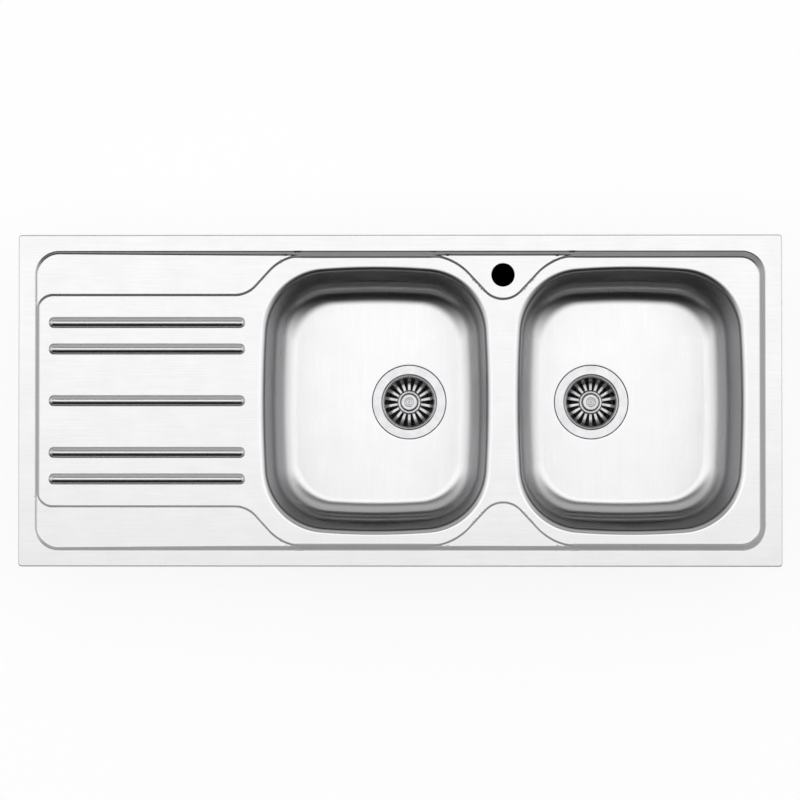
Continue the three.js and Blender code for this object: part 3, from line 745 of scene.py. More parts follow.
deckRows = {  # how far in from its line, or out from a rib's middle, each row of points runs, in millimetres
    "ledge": (-2.4, -1.2, -0.7, -0.2, 0.3, 0.8, 1.4, 2.1, 2.8, 3.5, 4.2, 4.9, 5.6, 6.3, 7.0,
              7.8, 8.7, 9.6, 10.6),
    "field": (-2.3, -1.2, -0.7, -0.2, 0.3, 0.8, 1.4, 2.0, 2.6, 3.3, 4.1, 5.2),
    "rib": (0, 1.2, 2.4, 3.6, 4.7, 5.6, 6.3, 6.9, 7.4, 8.0, 8.8, 10.0), "flange": (3, 8),
}
deckSpacing = {  # how far apart points lie, and how clear of the edges they keep, in metres
    "rim": 0.01, "along": 0.0007, "across": 0.0005, "grid": 0.02, "gridClear": 0.006,
    "rimClear": 0.0015, "holeClear": 0.0012,
}
drainer = {
    "Start": -0.53, "Length": 0.296, "Half width": 0.0075, "Height": 0.004,
    "Second row": 0.078, "Third row": 0.118, "Foot": 0.0014,
}
rimHalf = (deckHigh.x, deckHigh.y)


def smoothMax(a, b, width):
    near = np.maximum(width - np.abs(a - b), 0)
    return np.maximum(a, b) + near * near / (4 * width)


def ledgeFloor(x):
    start = -rimHalf[0] + deck["band"]
    share = (x - start) / (deck["levelFrom"] - start)
    share = -smoothMax(-share, np.full_like(share, -1.0), deck["levelSoft"])
    return deckHigh.z - deck["ledgeAtEnd"] - (deck["ledgeDepth"] - deck["ledgeAtEnd"]) * share


def fieldCorners():
    inner = deck["band"] - deck["past"]
    right, left = rimHalf[0] - inner - deck["ledgeDepth"], -(rimHalf[0] - inner - deck["ledgeAtEnd"])
    back = rimHalf[1] - inner - deck["ledgeDepth"]
    start, end, innerRadius, outerRadius = deck["shoulder"]
    slope, radius, shoulderRadius = deck["valley"]
    valleyY = deck["tapHole"][1] - radius / math.cos(math.radians(slope))
    reach = (back - valleyY) / math.tan(math.radians(slope))
    half = [
        (right, back, deck["ledgeCorner"] - deck["ledgeDepth"]), (tapX + reach, back, shoulderRadius),
        (tapX, valleyY, radius), (tapX - reach, back, shoulderRadius), (end, back, outerRadius),
        (start, deck["drainerHalf"], innerRadius), (left, deck["drainerHalf"], deck["drainerCorner"]),
    ]
    return half + [(x, -y, r) for x, y, r in reversed(half)]


ledgeCorners = rectangle(rimHalf[0] - deck["band"], rimHalf[1] - deck["band"], deck["ledgeCorner"])
rimCorners = rectangle(*rimHalf, deck["corner"])


def stepDistances(points):
    # how far each point lies inside the ledge's line and inside the field's line
    return [insideDistance(points, roundedOutline(corners, spacing=0.2))
            for corners in (ledgeCorners, fieldCorners())]


def pressedHeight(points):
    ledgeIn, fieldIn = stepDistances(points)
    level = ledgeFloor(points[:, 0])
    field = smoothMax(level - fieldIn * deck["fieldSteep"], level - deck["fieldDepth"], deck["softFoot"])
    lower = -smoothMax(-level, -field, deck["softEdge"])
    walls = smoothMax(deckHigh.z - ledgeIn, lower, deck["softFoot"])
    top = -smoothMax(np.full(len(points), -deckHigh.z), -walls, deck["softEdge"])
    # the strip round each bowl lies level with the bowl's flange
    for x in bowlX.values():
        off = -insideDistance(points - [x, 0], bowlOutline(-bowl["flange"]))
        share = np.clip(off / deck["flangeStrip"], 0, 1)
        share = share * share * (3 - 2 * share)
        top = np.where(off < deck["flangeStrip"], fieldTop + (top - fieldTop) * share, top)
    return top


def tapRing(off, cuts=64):
    x, y, radius = deck["tapHole"]
    return arcPoints(x, y, radius + off, 0, 2 * math.pi, cuts)[:-1]


def evenly(ring, spacing):
    # the closed ring again, with its points evenly apart
    ring = np.vstack((ring, ring[:1]))
    along = np.append(0, np.cumsum(np.linalg.norm(np.diff(ring, axis=0), axis=1)))
    at = np.arange(0, along[-1], spacing)
    return np.column_stack([np.interp(at, along, ring[:, i]) for i in (0, 1)])


def whereStepsMeet(points):
    # how far apart the two steps are, and which points lie where one runs into the other
    ledgeIn, fieldIn = stepDistances(points)
    apart, together = ledgeIn - fieldIn, deckHigh.z - ledgeFloor(points[:, 0]) - deck["past"]
    low, high = deck["meetingStrip"]
    meeting = (fieldIn > low) & (fieldIn < high)
    meeting &= (apart > together + deck["meetingSlack"]) & (apart < deck["stepsApart"])
    return apart, meeting


def ribOutline(y, off, cuts=36, turnCuts=14):
    half = drainer["Half width"]
    start, end = drainer["Start"] + half, drainer["Start"] + drainer["Length"] - half
    if off == 0:
        return np.column_stack((np.linspace(start, end, cuts), np.full(cuts, y)))
    run = np.linspace(start, end, cuts)[1:-1]
    return np.vstack((
        arcPoints(end, y, off, -math.pi / 2, math.pi / 2, turnCuts),
        np.column_stack((run[::-1], np.full(len(run), y + off))),
        arcPoints(start, y, off, math.pi / 2, 1.5 * math.pi, turnCuts),
        np.column_stack((run, np.full(len(run), y - off)))))


def bendRows():
    # rows of points along every line where the sheet bends
    loose = [roundedOutline(ledgeCorners, d / 1000) for d in deckRows["ledge"]]
    field = np.vstack([roundedOutline(fieldCorners(), d / 1000) for d in deckRows["field"]])
    loose.append(field[whereStepsMeet(field)[0] > deck["stepsApart"]])
    for y in (0, drainer["Second row"], drainer["Third row"]):
        for off in deckRows["rib"]:
            loose += [ribOutline(sign * y, off / 1000) for sign in ((1, -1) if y else (1,))]
    for x in bowlX.values():
        loose += [bowlOutline(-bowl["flange"] - d / 1000) + [x, 0] for d in deckRows["flange"]]
    return loose


def openGrid(near):
    # a wide grid over the flats, clear of the points that are there already
    step, clear = deckSpacing["grid"], deckSpacing["gridClear"]
    xs, ys = (np.arange(step - half, half, step) for half in rimHalf)
    grid = np.column_stack([v.ravel() for v in np.meshgrid(xs, ys)])
    cells = {tuple(cell) for cell in np.floor(near / clear).astype(int)}
    around = [(i, j) for i in (-1, 0, 1) for j in (-1, 0, 1)]
    return np.array([(x, y) for x, y in grid if not any(
        (int(x // clear) + i, int(y // clear) + j) in cells for i, j in around)])


def meetingPoints():
    # an even net of fine points along the field's line
    low, high = deck["meetingStrip"]
    fine = np.vstack([evenly(roundedOutline(fieldCorners(), d), deckSpacing["along"])
                      for d in np.arange(low, high, deckSpacing["across"])])
    return fine[whereStepsMeet(fine)[1]]


def deckPoints():
    # closed loops that bound the sheet, then loose points between them
    loops = [roundedOutline(rimCorners, deck["edgeRadius"], deckSpacing["rim"])]
    loops += [bowlOutline(-bowl["flange"]) + [x, 0] for x in bowlX.values()]
    loops.append(tapRing(deck["tapEdge"][0][0]))
    loose = bendRows()
    loose = np.vstack(loose + [openGrid(np.vstack(loose + loops))])
    loose = np.vstack((loose[~whereStepsMeet(loose)[1]], meetingPoints()))
    keep = insideDistance(loose, loops[0]) > deckSpacing["rimClear"]
    for hole in loops[1:]:
        keep &= insideDistance(loose, hole) < -deckSpacing["holeClear"]
    return loops, loose[keep]


def ribTree():
    # lifts the sheet into straight ribs with round ends
    tree, given = newTree("drainerRibs", [("Geometry", "Geometry", None)] + [
        (label, "Float", value) for label, value in drainer.items()] + [("Material", "Material", None)])
    position = newNode(tree, "GeometryNodeInputPosition").outputs[0]
    x, y, _ = newNode(tree, "ShaderNodeSeparateXYZ", {0: position}).outputs
    half = given["Half width"]
    run = maths(tree, "SUBTRACT", maths(tree, "MULTIPLY", given["Length"], 0.5), half)
    middle = maths(tree, "MULTIPLY_ADD", given["Length"], 0.5, given["Start"])
    past = maths(tree, "MAXIMUM", maths(tree, "SUBTRACT", maths(
        tree, "ABSOLUTE", maths(tree, "SUBTRACT", x, middle)), run), 0.0)
    off = maths(tree, "ABSOLUTE", y)
    nearest = off
    for row in ("Second row", "Third row"):
        toRow = maths(tree, "ABSOLUTE", maths(tree, "SUBTRACT", off, given[row]))
        nearest = maths(tree, "MINIMUM", nearest, toRow)
    squared = maths(tree, "MULTIPLY_ADD", past, past, maths(tree, "MULTIPLY", nearest, nearest))
    height = given["Height"]
    bulge = maths(tree, "MULTIPLY_ADD", half, half, maths(tree, "MULTIPLY", height, height))
    radius = maths(tree, "DIVIDE", bulge, maths(tree, "MULTIPLY", height, 2.0))
    under = maths(tree, "SUBTRACT", maths(tree, "MULTIPLY", radius, radius), squared)
    under = maths(tree, "MAXIMUM", under, 0.0)
    crown = maths(tree, "SUBTRACT", maths(tree, "SQRT", under), maths(tree, "SUBTRACT", radius, height))
    lift = maths(tree, "SMOOTH_MAX", crown, 0.0, given["Foot"])
    offset = newNode(tree, "ShaderNodeCombineXYZ", {"Z": lift}).outputs[0]
    moved = newNode(tree, "GeometryNodeSetPosition", {
        "Geometry": given["Geometry"], "Offset": offset}).outputs[0]
    return finishTree(tree, moved, given["Material"])


def cutSheet(loops, loose):
    # triangles between all the points, without those past the rim or over an opening
    edges, rings, first = [], [], 0
    for loop in loops:
        ids = list(range(first, first + len(loop)))
        rings.append(ids)
        edges += list(zip(ids, ids[1:] + ids[:1]))
        first += len(loop)
    found = delaunay_2d_cdt([Vector(p) for p in np.vstack(loops + [loose])], edges, [], 0, 1e-6)
    points = np.array([tuple(p) for p in found[0]])
    back = {old: new for new, olds in enumerate(found[3]) for old in olds}
    faces = np.array([f for f in found[2] if len(f) == 3])
    middle = points[faces].mean(1)
    keep = insideDistance(middle, loops[0]) > 0
    for hole in loops[1:]:
        keep &= insideDistance(middle, hole) < 0
    return points, faces[keep], [[back[i] for i in ids] for ids in rings]


def edgeProfile():
    # (inset, height) over the rolled outer edge, down to the lip and back up behind it
    radius, sheet, lip, soft = deck["edgeRadius"], deck["sheet"], deck["lip"], deck["lipRound"]
    turns = np.radians(np.linspace(80, 0, 9))

    def overEdge(r, turns):
        return [(radius - r * math.cos(t), deckHigh.z - radius + r * math.sin(t)) for t in turns]

    foot = [(0, lip + soft), (soft, lip), (sheet - soft, lip), (sheet, lip + soft)]
    return overEdge(radius, turns) + foot + overEdge(radius - sheet, turns[::-1])


def buildDeck():
    points, faces, rings = cutSheet(*deckPoints())
    heights, count = pressedHeight(points), len(points)
    vertices = [np.column_stack((points, heights)), np.column_stack((points, heights - deck["sheet"]))]
    solid = [tuple(f) for f in faces] + [tuple(f[::-1] + count) for f in faces]

    def addRing(ring, height):
        first = sum(len(rows) for rows in vertices)
        vertices.append(np.column_stack((ring, np.full(len(ring), height))))
        return list(range(first, first + len(ring)))

    def strip(ringA, ringB):
        for i in range(len(ringA)):
            j = (i + 1) % len(ringA)
            solid.append((ringA[i], ringA[j], ringB[j], ringB[i]))

    previous = rings[0]
    for inset, z in edgeProfile():
        ring = addRing(roundedOutline(rimCorners, inset, deckSpacing["rim"]), z)
        strip(ring, previous)
        previous = ring
    strip([i + count for i in rings[0]], previous)
    # walls of the openings, the tap hole with a small round edge
    for ring in rings[1:3]:
        strip(ring, [i + count for i in ring])
    previous, level = rings[3], heights[rings[3]].mean()
    for off, drop in deck["tapEdge"][1:]:
        ring = addRing(tapRing(off), level - drop)
        strip(previous, ring)
        previous = ring
    strip(previous, [i + count for i in rings[3]])
    mesh = outwards(meshFrom("deckSheet", np.vstack(vertices), solid))
    ribbed = withModifier("deckSheet", mesh, "NODES", node_group=ribTree(), inputs={
        **drainer, "Material": deckSteel})
    made = softened("pressedDeck", ribbed, deckSteel)
    standsFor(made, "sink", "brushed_steel", "deck")
    print("deck ready:", len(made.data.polygons), "faces")


buildDeck()


# turned pieces: sections of (radius, height, rounding) rows in millimetres, spun about an upright axis
def millimetres(rows, degrees=15):
    points = []
    for i, (radius, height, rounding) in enumerate(rows):
        points.append(cornerArc(rows, i, 0, degrees) if rounding else [(radius, height)])
    return np.vstack(points) / 1000


def turned(name, rows, material, columns=96, closed=True):
    circle = arcPoints(0, 0, 1, 0, 2 * math.pi, columns)[:-1]
    return loft(name, [circle * 0, circle], millimetres(rows), material, closed)


def joined(name, meshes):
    # several meshes in one
    work = bmesh.new()
    for mesh in meshes:
        work.from_mesh(mesh)
        bpy.data.meshes.remove(mesh)
    result = bpy.data.meshes.new(name)
    work.to_mesh(result)
    work.free()
    return result


def combined(name, mesh, tool, operation):
    helper = newObject(name + "Tool", tool)
    result = withModifier(name, mesh, "BOOLEAN", operation=operation, object=helper, solver="EXACT")
    bpy.data.objects.remove(helper)
    bpy.data.meshes.remove(tool)
    return result


def blockMesh(name, size, centre):
    # size and centre in millimetres
    work = bmesh.new()
    place = Matrix.LocRotScale(Vector(centre) / 1000, None, Vector(size) / 1000)
    bmesh.ops.create_cube(work, size=1, matrix=place)
    mesh = bpy.data.meshes.new(name)
    work.to_mesh(mesh)
    work.free()
    return mesh


def copyOf(node):
    # merged copy of a CAD part's mesh
    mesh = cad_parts[node].data.copy()
    work = bmesh.new()
    work.from_mesh(mesh)
    bmesh.ops.remove_doubles(work, verts=work.verts, dist=1e-6)
    bmesh.ops.dissolve_limit(work, angle_limit=math.radians(1), verts=work.verts, edges=work.edges)
    work.to_mesh(mesh)
    work.free()
    return mesh


def threadTree():
    # cuts a round thread into the outside of an upright cylinder
    tree, given = newTree("thread", [
        ("Geometry", "Geometry", None), ("Radius", "Float", 0.0239), ("Depth", "Float", 0.0012),
        ("Pitch", "Float", 0.0023), ("Low", "Float", 0.0), ("High", "Float", 0.1),
        ("Run out", "Float", 0.003), ("Material", "Material", None)])
    position = newNode(tree, "GeometryNodeInputPosition").outputs[0]
    x, y, z = newNode(tree, "ShaderNodeSeparateXYZ", {0: position}).outputs
    radial = newNode(tree, "ShaderNodeCombineXYZ", {0: x, 1: y}).outputs[0]
    reach = newNode(tree, "ShaderNodeVectorMath", {0: radial}, operation="LENGTH").outputs["Value"]
    turn = maths(tree, "DIVIDE", maths(tree, "ARCTAN2", y, x), 2 * math.pi)
    phase = maths(tree, "SUBTRACT", maths(tree, "DIVIDE", z, given["Pitch"]), turn)
    wave = maths(tree, "MULTIPLY", maths(tree, "COSINE", maths(tree, "MULTIPLY", phase, 2 * math.pi)), 0.5)
    cut = maths(tree, "MULTIPLY", maths(tree, "SUBTRACT", 0.5, wave), given["Depth"])
    for end, sign in (("Low", 1.0), ("High", -1.0)):
        past = maths(tree, "MULTIPLY", maths(tree, "SUBTRACT", z, given[end]), sign)
        share = maths(tree, "DIVIDE", past, given["Run out"])
        fade = newNode(tree, "ShaderNodeClamp", {"Value": share}).outputs[0]
        cut = maths(tree, "MULTIPLY", cut, fade)
    outside = maths(tree, "GREATER_THAN", reach, maths(tree, "MULTIPLY", given["Radius"], 0.985))
    factor = maths(tree, "DIVIDE", maths(tree, "MULTIPLY", cut, -1.0), maths(tree, "MAXIMUM", reach, 1e-6))
    offset = newNode(tree, "ShaderNodeVectorMath", {0: radial, "Scale": factor}, operation="SCALE").outputs[0]
    moved = newNode(tree, "GeometryNodeSetPosition", {
        "Geometry": given["Geometry"], "Selection": outside, "Offset": offset}).outputs[0]
    return finishTree(tree, moved, given["Material"])


def ringTree():
    # copies of one sector set in a full circle and welded
    tree, given = newTree("ring", [("Geometry", "Geometry", None), ("Count", "Int", 18),
                                   ("Weld", "Float", 1e-5), ("Material", "Material", None)])
    points = newNode(tree, "GeometryNodePoints", {"Count": given["Count"]}).outputs[0]
    index = newNode(tree, "GeometryNodeInputIndex").outputs[0]
    angle = maths(tree, "MULTIPLY", maths(tree, "DIVIDE", index, given["Count"]), 2 * math.pi)
    turn = newNode(tree, "ShaderNodeCombineXYZ", {"Z": angle}).outputs[0]
    rotation = newNode(tree, "FunctionNodeEulerToRotation", {0: turn}).outputs[0]
    placed = newNode(tree, "GeometryNodeInstanceOnPoints", {
        "Points": points, "Instance": given["Geometry"], "Rotation": rotation}).outputs[0]
    real = newNode(tree, "GeometryNodeRealizeInstances", {0: placed}).outputs[0]
    welded = newNode(tree, "GeometryNodeMergeByDistance", {
        "Geometry": real, "Distance": given["Weld"]}).outputs[0]
    return finishTree(tree, welded, given["Material"])


def placedTree():
    # one piece set at every point, turned by the point's own angle
    tree, given = newTree("placed", [("Geometry", "Geometry", None), ("Piece", "Object", None),
                                     ("Material", "Material", None)])
    piece = newNode(tree, "GeometryNodeObjectInfo", {"Object": given["Piece"]}).outputs["Geometry"]
    named = newNode(tree, "GeometryNodeInputNamedAttribute", {"Name": "turn"}, data_type="FLOAT")
    angle = named.outputs["Attribute"]
    turn = newNode(tree, "ShaderNodeCombineXYZ", {"Z": angle}).outputs[0]
    rotation = newNode(tree, "FunctionNodeEulerToRotation", {0: turn}).outputs[0]
    placed = newNode(tree, "GeometryNodeInstanceOnPoints", {
        "Points": given["Geometry"], "Instance": piece, "Rotation": rotation}).outputs[0]
    return finishTree(tree, placed, given["Material"])


threads, ringOf, placed = threadTree(), ringTree(), placedTree()


# basket strainer wastes, heights in millimetres from the floor of the bowl
waste = {
    "flange": 57, "mouth": 42, "cup": 40, "seat": 30, "sheet": 0.8, "drains": 5, "drainRadius": 5.6,
    "drainPlace": 14, "outlet": 23.9, "bore": 19.5, "end": -102, "bodyTop": -7.1,
    "threadTop": -73, "threadCuts": 101, "pitch": 2.31, "threadDepth": 1.1,
    "hub": (2.6, 6.5, -62, -41.4), "spokes": 3, "spoke": (25.5, 3, 9), "spokePlace": (17.65, 0, -54),
    "flangeGasket": (45.5, 55, -2.7, -0.8), "bodyGasket": (45, 54, -6.8, -4.3),  # bore, outside, foot and top
}
basket = {
    "rim": 41, "wall": 38, "foot": 22, "depth": 19, "lip": 2.8, "sheet": 0.9, "slots": 18, "slotFrom": 19.5,
    "slotTo": 37.5, "slotNarrow": 2.6, "slotWide": 7.6, "slotCorner": 1.1, "edgeRound": 0.8, "edgeDrop": 0.45,
    "square": 3.2, "middle": 17.4, "bore": 3.5,  # square: 2 gives a round bowl, more a flatter one
    "columns": 9, "slotRings": (0.12, 0.45, 1.0), "clear": (0.4, 0.05, 0.2), "steepest": (-0.6, 2.4),
}
plug = {"knob": 14.3, "knobHeight": 7, "stem": 3.2, "seal": 29.3, "sealHeight": 6}
bowlFloor = fieldTop - bowl["depth"]


def flangeMesh():
    f, m, d, t = waste["flange"], waste["mouth"], waste["cup"], waste["sheet"]
    cup = turned("flange", [
        (f, -0.6, 0.1), (f, 0.4, 0.35), (m + 1.8, 0.4, 1.3), (m, -1, 0.9), (m, -3, 0.3), (m - 2.4, -3.2, 0.6),
        (m - 3.5, 10 - d, 8), (waste["seat"], -d, 4), (5, -d, 0.4), (3.2, -d - 0.3, 0.2), (3.2, -d - t, 0.2),
        (waste["seat"] + 0.4, -d - t, 4.5), (m - 2.7, 9.7 - d, 8.5), (m - 1.6, -3.9, 0.4),
        (m + 0.8, -3.8, 0.3), (m + 0.8, -1.3, 0.3), (m + 2, -0.5, 0.4), (f - 1.2, -0.5, 0.2)],
        wasteSteel, 120)
    r = waste["drainRadius"]
    drill = [(0, -d - 3, 0), (r, -d - 3, 0), (r, 3 - d, 0), (0, 3 - d, 0)]
    tools = []
    for i in range(waste["drains"]):
        tool = turned("drain", drill, wasteSteel, 36, closed=False)
        angle = 2 * math.pi * i / waste["drains"]
        place = Vector((math.cos(angle), math.sin(angle), 0)) * waste["drainPlace"] / 1000
        tool.transform(Matrix.Translation(place))
        tools.append(tool)
    return combined("flange", cup, joined("drains", tools), "DIFFERENCE")


def basketSection():
    # wet face from the bore out to the rim
    foot, wall, d, lip = basket["foot"], basket["wall"], basket["depth"], basket["lip"]
    m, r = basket["middle"], basket["rim"]
    power = 2 / basket["square"]
    curve = [(foot + (wall - foot) * math.cos(a) ** power, -lip - (d - lip) * math.sin(a) ** power, 0)
             for a in np.radians(np.linspace(90, 6, 17))]
    rows = [(basket["bore"], 2.5 - d, 0), (m, 3.5 - d, 1.2), (m + 1.4, -d, 0.9), *curve,
            (wall + 0.4, -2.5, 0.5), (r, -0.9, 0.6), (r, -1.7, 0)]
    points = millimetres(rows)
    return points[np.concatenate(([True], np.diff(points[:, 0]) > 2e-5))]


def basketSector():
    # one sector from the bore to the rim, round one wedge-shaped slot with soft edges
    section = basketSection()
    radii = section[:, 0]
    half, count = math.pi / basket["slots"], basket["columns"]
    a, b = basket["slotFrom"] / 1000, basket["slotTo"] / 1000
    narrow, wide = basket["slotNarrow"] / 2000, basket["slotWide"] / 2000
    corner, edge = basket["slotCorner"] / 1000, basket["edgeRound"] / 1000
    wedge = [(a, -narrow, corner), (b, -wide, 2 * corner), (b, wide, 2 * corner), (a, narrow, corner)]
    columns = np.linspace(-half, half, count)
    points, edges = [], []

    def polygon(rows):
        first = len(points)
        points.extend(rows)
        edges.extend((first + i, first + (i + 1) % len(rows)) for i in range(len(rows)))

    across = [(r * math.cos(t), r * math.sin(t)) for r in radii[[0, -1]] for t in columns]
    side = [(r * math.cos(half), r * math.sin(half)) for r in radii[1:-1]]
    polygon(across[:count] + side + across[count:][::-1] + [(x, -y) for x, y in side[::-1]])
    outline = np.array(points)
    slot = roundedOutline(wedge, 0, 0.001)
    polygon([tuple(p) for p in slot])
    onRings = np.vstack([roundedOutline(wedge, -share * edge, 0.001) for share in basket["slotRings"]])
    between = np.array([(r * math.cos(t), r * math.sin(t)) for r in radii[1:-1] for t in columns[1:-1]])
    toRings = np.array([np.hypot(*(onRings - p).T).min() for p in between])
    ringClear, slotClear, edgeClear = (clear / 1000 for clear in basket["clear"])
    loose = np.vstack((onRings, between[toRings >= ringClear]))
    loose = loose[(insideDistance(loose, slot) < -slotClear) & (insideDistance(loose, outline) > edgeClear)]
    points += [tuple(p) for p in loose]
    found = delaunay_2d_cdt([Vector(p) for p in points], edges, [], 0, 1e-7)
    flat = np.array([tuple(p) for p in found[0]])
    faces = np.array([f for f in found[2] if len(f) == 3])
    middle = flat[faces].mean(1)
    faces = faces[(insideDistance(middle, slot) < 0) & (insideDistance(middle, outline) > 0)]
    depth = np.clip(edge + insideDistance(flat, slot), 0, edge)
    drop = basket["edgeDrop"] * (edge - np.sqrt(edge * edge - depth * depth))
    heights = np.interp(np.hypot(*flat.T), radii, section[:, 1]) - drop
    return meshFrom("basketSector", np.column_stack((flat, heights)), faces)


def basketMesh():
    ring = withModifier("basketRing", basketSector(), "NODES", node_group=ringOf, inputs={
        "Count": basket["slots"], "Weld": 4e-6, "Material": basketSteel})
    work = bmesh.new()
    work.from_mesh(ring)
    bmesh.ops.delete(work, geom=[v for v in work.verts if not v.link_faces], context="VERTS")
    bmesh.ops.dissolve_degenerate(work, dist=2e-6, edges=work.edges)
    bmesh.ops.triangulate(work, faces=work.faces)
    for face in work.faces:
        if face.normal.z < 0:
            face.normal_flip()
    # the hidden face lies one sheet behind, square to the section
    section = basketSection()
    slope = np.gradient(section[:, 1], section[:, 0])
    lower = {}
    for vertex in list(work.verts):
        steep = np.clip(np.interp(vertex.co.xy.length, section[:, 0], slope), *basket["steepest"])
        back = basket["sheet"] / 1000 / math.hypot(1, steep)
        outward = vertex.co.xy.normalized() * steep * back
        lower[vertex] = work.verts.new((vertex.co.x + outward.x, vertex.co.y + outward.y, vertex.co.z - back))
    rims = [edge for edge in work.edges if len(edge.link_faces) == 1]
    for face in list(work.faces):
        work.faces.new([lower[v] for v in reversed(face.verts)])
    for edge in rims:
        a, b = edge.verts
        work.faces.new((a, b, lower[b], lower[a]))
    bmesh.ops.recalc_face_normals(work, faces=work.faces)
    work.to_mesh(ring)
    work.free()
    return ring


def stemMesh():
    k, h, s = plug["knob"], plug["knobHeight"], plug["stem"]
    foot, collar = 2.9 - waste["cup"], plug["sealHeight"] + 0.6 - waste["cup"]
    seat = 3.4 - basket["depth"]
    return turned("stem", [
        (0, foot, 0), (6.5, foot, 0.2), (6.5, foot + 0.6, 0.2), (s, foot + 0.6, 0.1), (s, collar, 0.1),
        (5, collar, 0.2), (5, collar + 1, 0.3), (s, collar + 1, 0.2), (s, seat, 0.3), (k - 2.5, seat, 0.6),
        (k, seat + 2, 1.2), (k, seat + h - 2.2, 1.0), (k - 2.2, seat + h, 1.6), (7.4, seat + h, 0.5),
        (6.4, seat + h - 1.3, 0.4), (4.6, seat + h - 1.3, 0.4), (3.8, seat + h - 0.4, 0.4),
        (1.6, seat + h - 0.4, 0.3), (1.1, seat + h - 1.2, 0.2), (0, seat + h - 1.2, 0)],
        basketSteel, 72, closed=False)


def sealMesh():
    r, h, low = plug["seal"], plug["sealHeight"], 0.3 - waste["cup"]
    return turned("seal", [
        (3.5, low + 3.5, 0.2), (8.5, low + 3.5, 0.6), (11, low + 1.4, 0.8), (r - 6, low + 1.4, 0.8),
        (r - 2.5, low, 0.6), (r - 0.5, low + 0.6, 0.4), (r, low + 2, 0.7), (r - 2, low + 4, 1.0),
        (9, low + h, 1.2), (3.5, low + h, 0.3)], rubberBlack)


def gasketMesh(name):
    inner, outer, low, high = waste[name]
    return turned("gasket", [(inner, low, 0.5), (outer, low, 0.5), (outer, high, 0.5), (inner, high, 0.5)],
                  rubberBlack)


def bodyMesh():
    m, d, bore, end = waste["mouth"], waste["cup"], waste["bore"], waste["end"]
    outlet, top = waste["outlet"], waste["bodyTop"]
    threadRows = [(outlet, z, 0) for z in np.linspace(end + 1, -d - 31, waste["threadCuts"])]
    shell = turned("body", [
        (bore, end, 0.4), (outlet, end, 0.5), *threadRows, (outlet, -d - 30, 0.4), (outlet + 4, -d - 26, 2),
        (36, -d - 14, 3), (m + 4.2, -d, 4), (m + 5, -14, 1.2), (m + 12, -12, 0.8), (m + 12, top, 0.6),
        (m + 1.4, top, 0.4), (m + 0.6, 6 - d, 6), (33, -d - 10.5, 4), (bore + 3, -d - 24, 2),
        (bore, -d - 28, 1)], plasticWhite, 108)
    threaded = withModifier("body", shell, "NODES", node_group=threads, inputs={
        "Radius": outlet / 1000, "Depth": waste["threadDepth"] / 1000, "Pitch": waste["pitch"] / 1000,
        "Low": (end + 1.5) / 1000, "High": waste["threadTop"] / 1000, "Material": plasticWhite})
    inner, outer, foot, head = waste["hub"]
    hub = turned("hub", [(inner, foot, 0.3), (outer, foot, 0.5), (outer, head, 0.5), (inner, head, 0.3)],
                 plasticWhite, 40)
    spokes = []
    for i in range(waste["spokes"]):
        spoke = blockMesh("spoke", waste["spoke"], waste["spokePlace"])
        spoke.transform(Matrix.Rotation(2 * math.pi * i / waste["spokes"], 4, "Z"))
        spokes.append(spoke)
    return joined("body", [threaded, hub, *spokes])


def screwMesh():
    d = waste["cup"]
    return turned("screw", [
        (0, -d - 20, 0), (1.7, -d - 20, 0.2), (2.3, -d - 18, 0.3), (2.3, 0.3 - d, 0.1), (5.2, 0.3 - d, 0.2),
        (5.2, 1.6 - d, 0.5), (3.6, 2.6 - d, 0.6), (1.2, 2.6 - d, 0.2), (1.2, 1.4 - d, 0.2), (0, 1.4 - d, 0)],
        zincMetal, 48, closed=False)


def buildWaste(side):
    place = Matrix.Translation((outletX[side], 0, bowlFloor))
    strainer, plugBody = f"strainer_{side}", f"plug_{side}"
    pieces = [
        ("wasteFlange", flangeMesh(), wasteSteel, "sink", "polished_steel", "waste_flange"),
        ("strainerBasket", basketMesh(), basketSteel, strainer, "polished_steel", "strainer_basket"),
        ("plugStem", stemMesh(), basketSteel, plugBody, "polished_steel", "plug_stem"),
        ("plugSeal", sealMesh(), rubberBlack, plugBody, "black_rubber", "plug_seal"),
        ("flangeGasket", gasketMesh("flangeGasket"), rubberBlack, "sink", "black_rubber", "flange_gasket"),
        ("bodyGasket", gasketMesh("bodyGasket"), rubberBlack, "sink", "black_rubber", "body_gasket"),
        ("wasteBody", bodyMesh(), plasticWhite, "sink", "white_plastic", "waste_body"),
        ("wasteScrew", screwMesh(), zincMetal, "sink", "zinc_steel", "waste_screw"),
    ]
    for name, mesh, material, body, slot, node in pieces:
        mesh.transform(place)
        made = softened(f"{name}_{side}", mesh, material, sharpAngle=50)
        standsFor(made, body, slot, f"{node}_{side}")


for side in bowlX:
    buildWaste(side)
print("wastes ready")


# worktop clips
clip = {
    "stud": 2.5, "studEnd": -62, "studTop": 5.7, "plate": (24, 10, 1.5), "threadTop": -12, "threadCuts": 251,
    "pitch": 1.0, "threadDepth": 0.42, "runOut": 2.0, "nutTop": -38.3, "wing": 2.0,
}
clipCount = sum(name.startswith("clip_stud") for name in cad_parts)


def clipPlaces():
    # where each stud stands, and which way its clip points: out to the nearest edge of the rim
    places = []
    for i in range(1, clipCount + 1):
        low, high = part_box(f"clip_stud_{i}")
        x, y = (low.x + high.x) / 2, (low.y + high.y) / 2
        toSide = rimHalf[0] - abs(x) < rimHalf[1] - abs(y)
        turn = math.copysign(math.pi / 2, -x) if toSide else (0 if y > 0 else math.pi)
        places.append(((x, y, 0), turn))
    return places


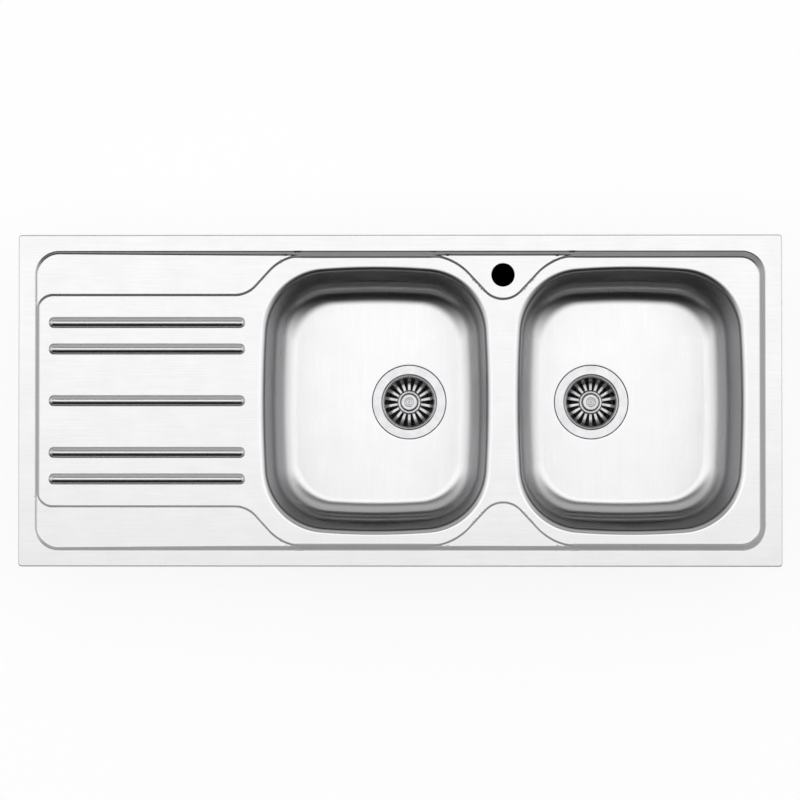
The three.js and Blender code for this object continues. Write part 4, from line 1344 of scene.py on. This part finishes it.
def buildStuds():
    end, top, r = clip["studEnd"], clip["studTop"], clip["stud"]
    thickness = clip["plate"][2]
    rows = [(0, end, 0), (r - 0.6, end, 0.1), (r, end + 0.8, 0.1)]
    rows += [(r, z, 0) for z in np.linspace(end + 1, clip["threadTop"], clip["threadCuts"])]
    under = top - thickness
    rows += [(r, under - 0.4, 0.1), (r + 0.5, under + 0.2, 0), (0, under + 0.2, 0)]
    rod = turned("stud", rows, zincMetal, 18, closed=False)
    rod = withModifier("stud", rod, "NODES", node_group=threads, inputs={
        "Radius": r / 1000, "Depth": clip["threadDepth"] / 1000, "Pitch": clip["pitch"] / 1000,
        "Low": (end + 1) / 1000, "High": clip["threadTop"] / 1000, "Run out": clip["runOut"] / 1000,
        "Material": zincMetal})
    plate = blockMesh("plate", clip["plate"], (0, 0, top - thickness / 2))
    plate = withModifier("plate", plate, "BEVEL", width=0.0004, segments=2, limit_method="ANGLE")
    one = newObject("studPiece", joined("studPiece", [rod, plate]))
    places = clipPlaces()
    points = meshFrom("studPoints", [place for place, _ in places], [])
    turns = points.attributes.new("turn", "FLOAT", "POINT")
    turns.data.foreach_set("value", [turn for _, turn in places])
    mesh = withModifier("clipStuds", points, "NODES", node_group=placed, inputs={
        "Piece": one, "Material": zincMetal})
    data = one.data
    bpy.data.objects.remove(one)
    bpy.data.meshes.remove(data)
    made = softened("clipStuds", mesh, zincMetal, sharpAngle=50)
    standsFor(made, "sink", "zinc_steel", *[f"clip_stud_{i + 1}" for i in range(clipCount)])


def nutMesh():
    top, bore = clip["nutTop"], clip["stud"] + 0.3
    hub = turned("nut", [(bore, top - 7, 0.2), (4.2, top - 7, 0.5), (5.4, top, 0.4), (bore, top, 0.2)],
                 zincMetal, 48)
    wing = [(4.0, -6.4, 0), (10.8, -11, 2), (14.6, -10.4, 1.6), (15.6, -7.2, 1.8), (13, -5, 1.6),
            (9.6, -5.4, 1.8), (6, -1.2, 1.5), (4.0, -1.0, 0)]
    outline = millimetres(wing, 20)
    count, half = len(outline), clip["wing"] / 2000
    parts = [hub]
    for turn in (1, -1):
        points = [(turn * x, turn * y, z + top / 1000) for y in (half, -half) for x, z in outline]
        faces = [tuple(range(count)), tuple(range(2 * count - 1, count - 1, -1))]
        faces += [(i, i + count, (i + 1) % count + count, (i + 1) % count) for i in range(count)]
        plate = outwards(meshFrom("wing", points, faces))
        parts.append(withModifier("wing", plate, "BEVEL", width=0.0005, segments=2, limit_method="ANGLE",
                                  angle_limit=math.radians(50)))
    return joined("nut", parts)


def buildClips():
    buildStuds()
    for i, (place, turn) in enumerate(clipPlaces(), 1):
        nut = nutMesh()
        nut.transform(Matrix.Translation(place) @ Matrix.Rotation(turn, 4, "Z"))
        standsFor(softened(f"wingNut_{i}", nut, zincMetal), f"clip_nut_{i}", "zinc_steel", f"clip_nut_{i}")
        arm = softened(f"clipArm_{i}", copyOf(f"clip_arm_{i}"), zincMetal, bevel=0.0004)
        standsFor(arm, f"clip_arm_{i}", "zinc_steel", f"clip_arm_{i}")


buildClips()
print("clips ready")


# foam seals under the rim and pads under the bowls
def buildSoftPieces():
    for side in ("back", "front", "left", "right"):
        name = f"rim_seal_{side}"
        seal = softened(f"rimSeal_{side}", copyOf(name), foamGrey, bevel=0.0009, segments=3)
        standsFor(seal, "sink", "grey_foam", name)
    for side in bowlX:
        name = f"sound_pad_{side}"
        pad = softened(f"soundPad_{side}", copyOf(name), padGrey, bevel=0.0006)
        standsFor(pad, "sink", "grey_pad", name)


buildSoftPieces()
print("seals and pads ready")
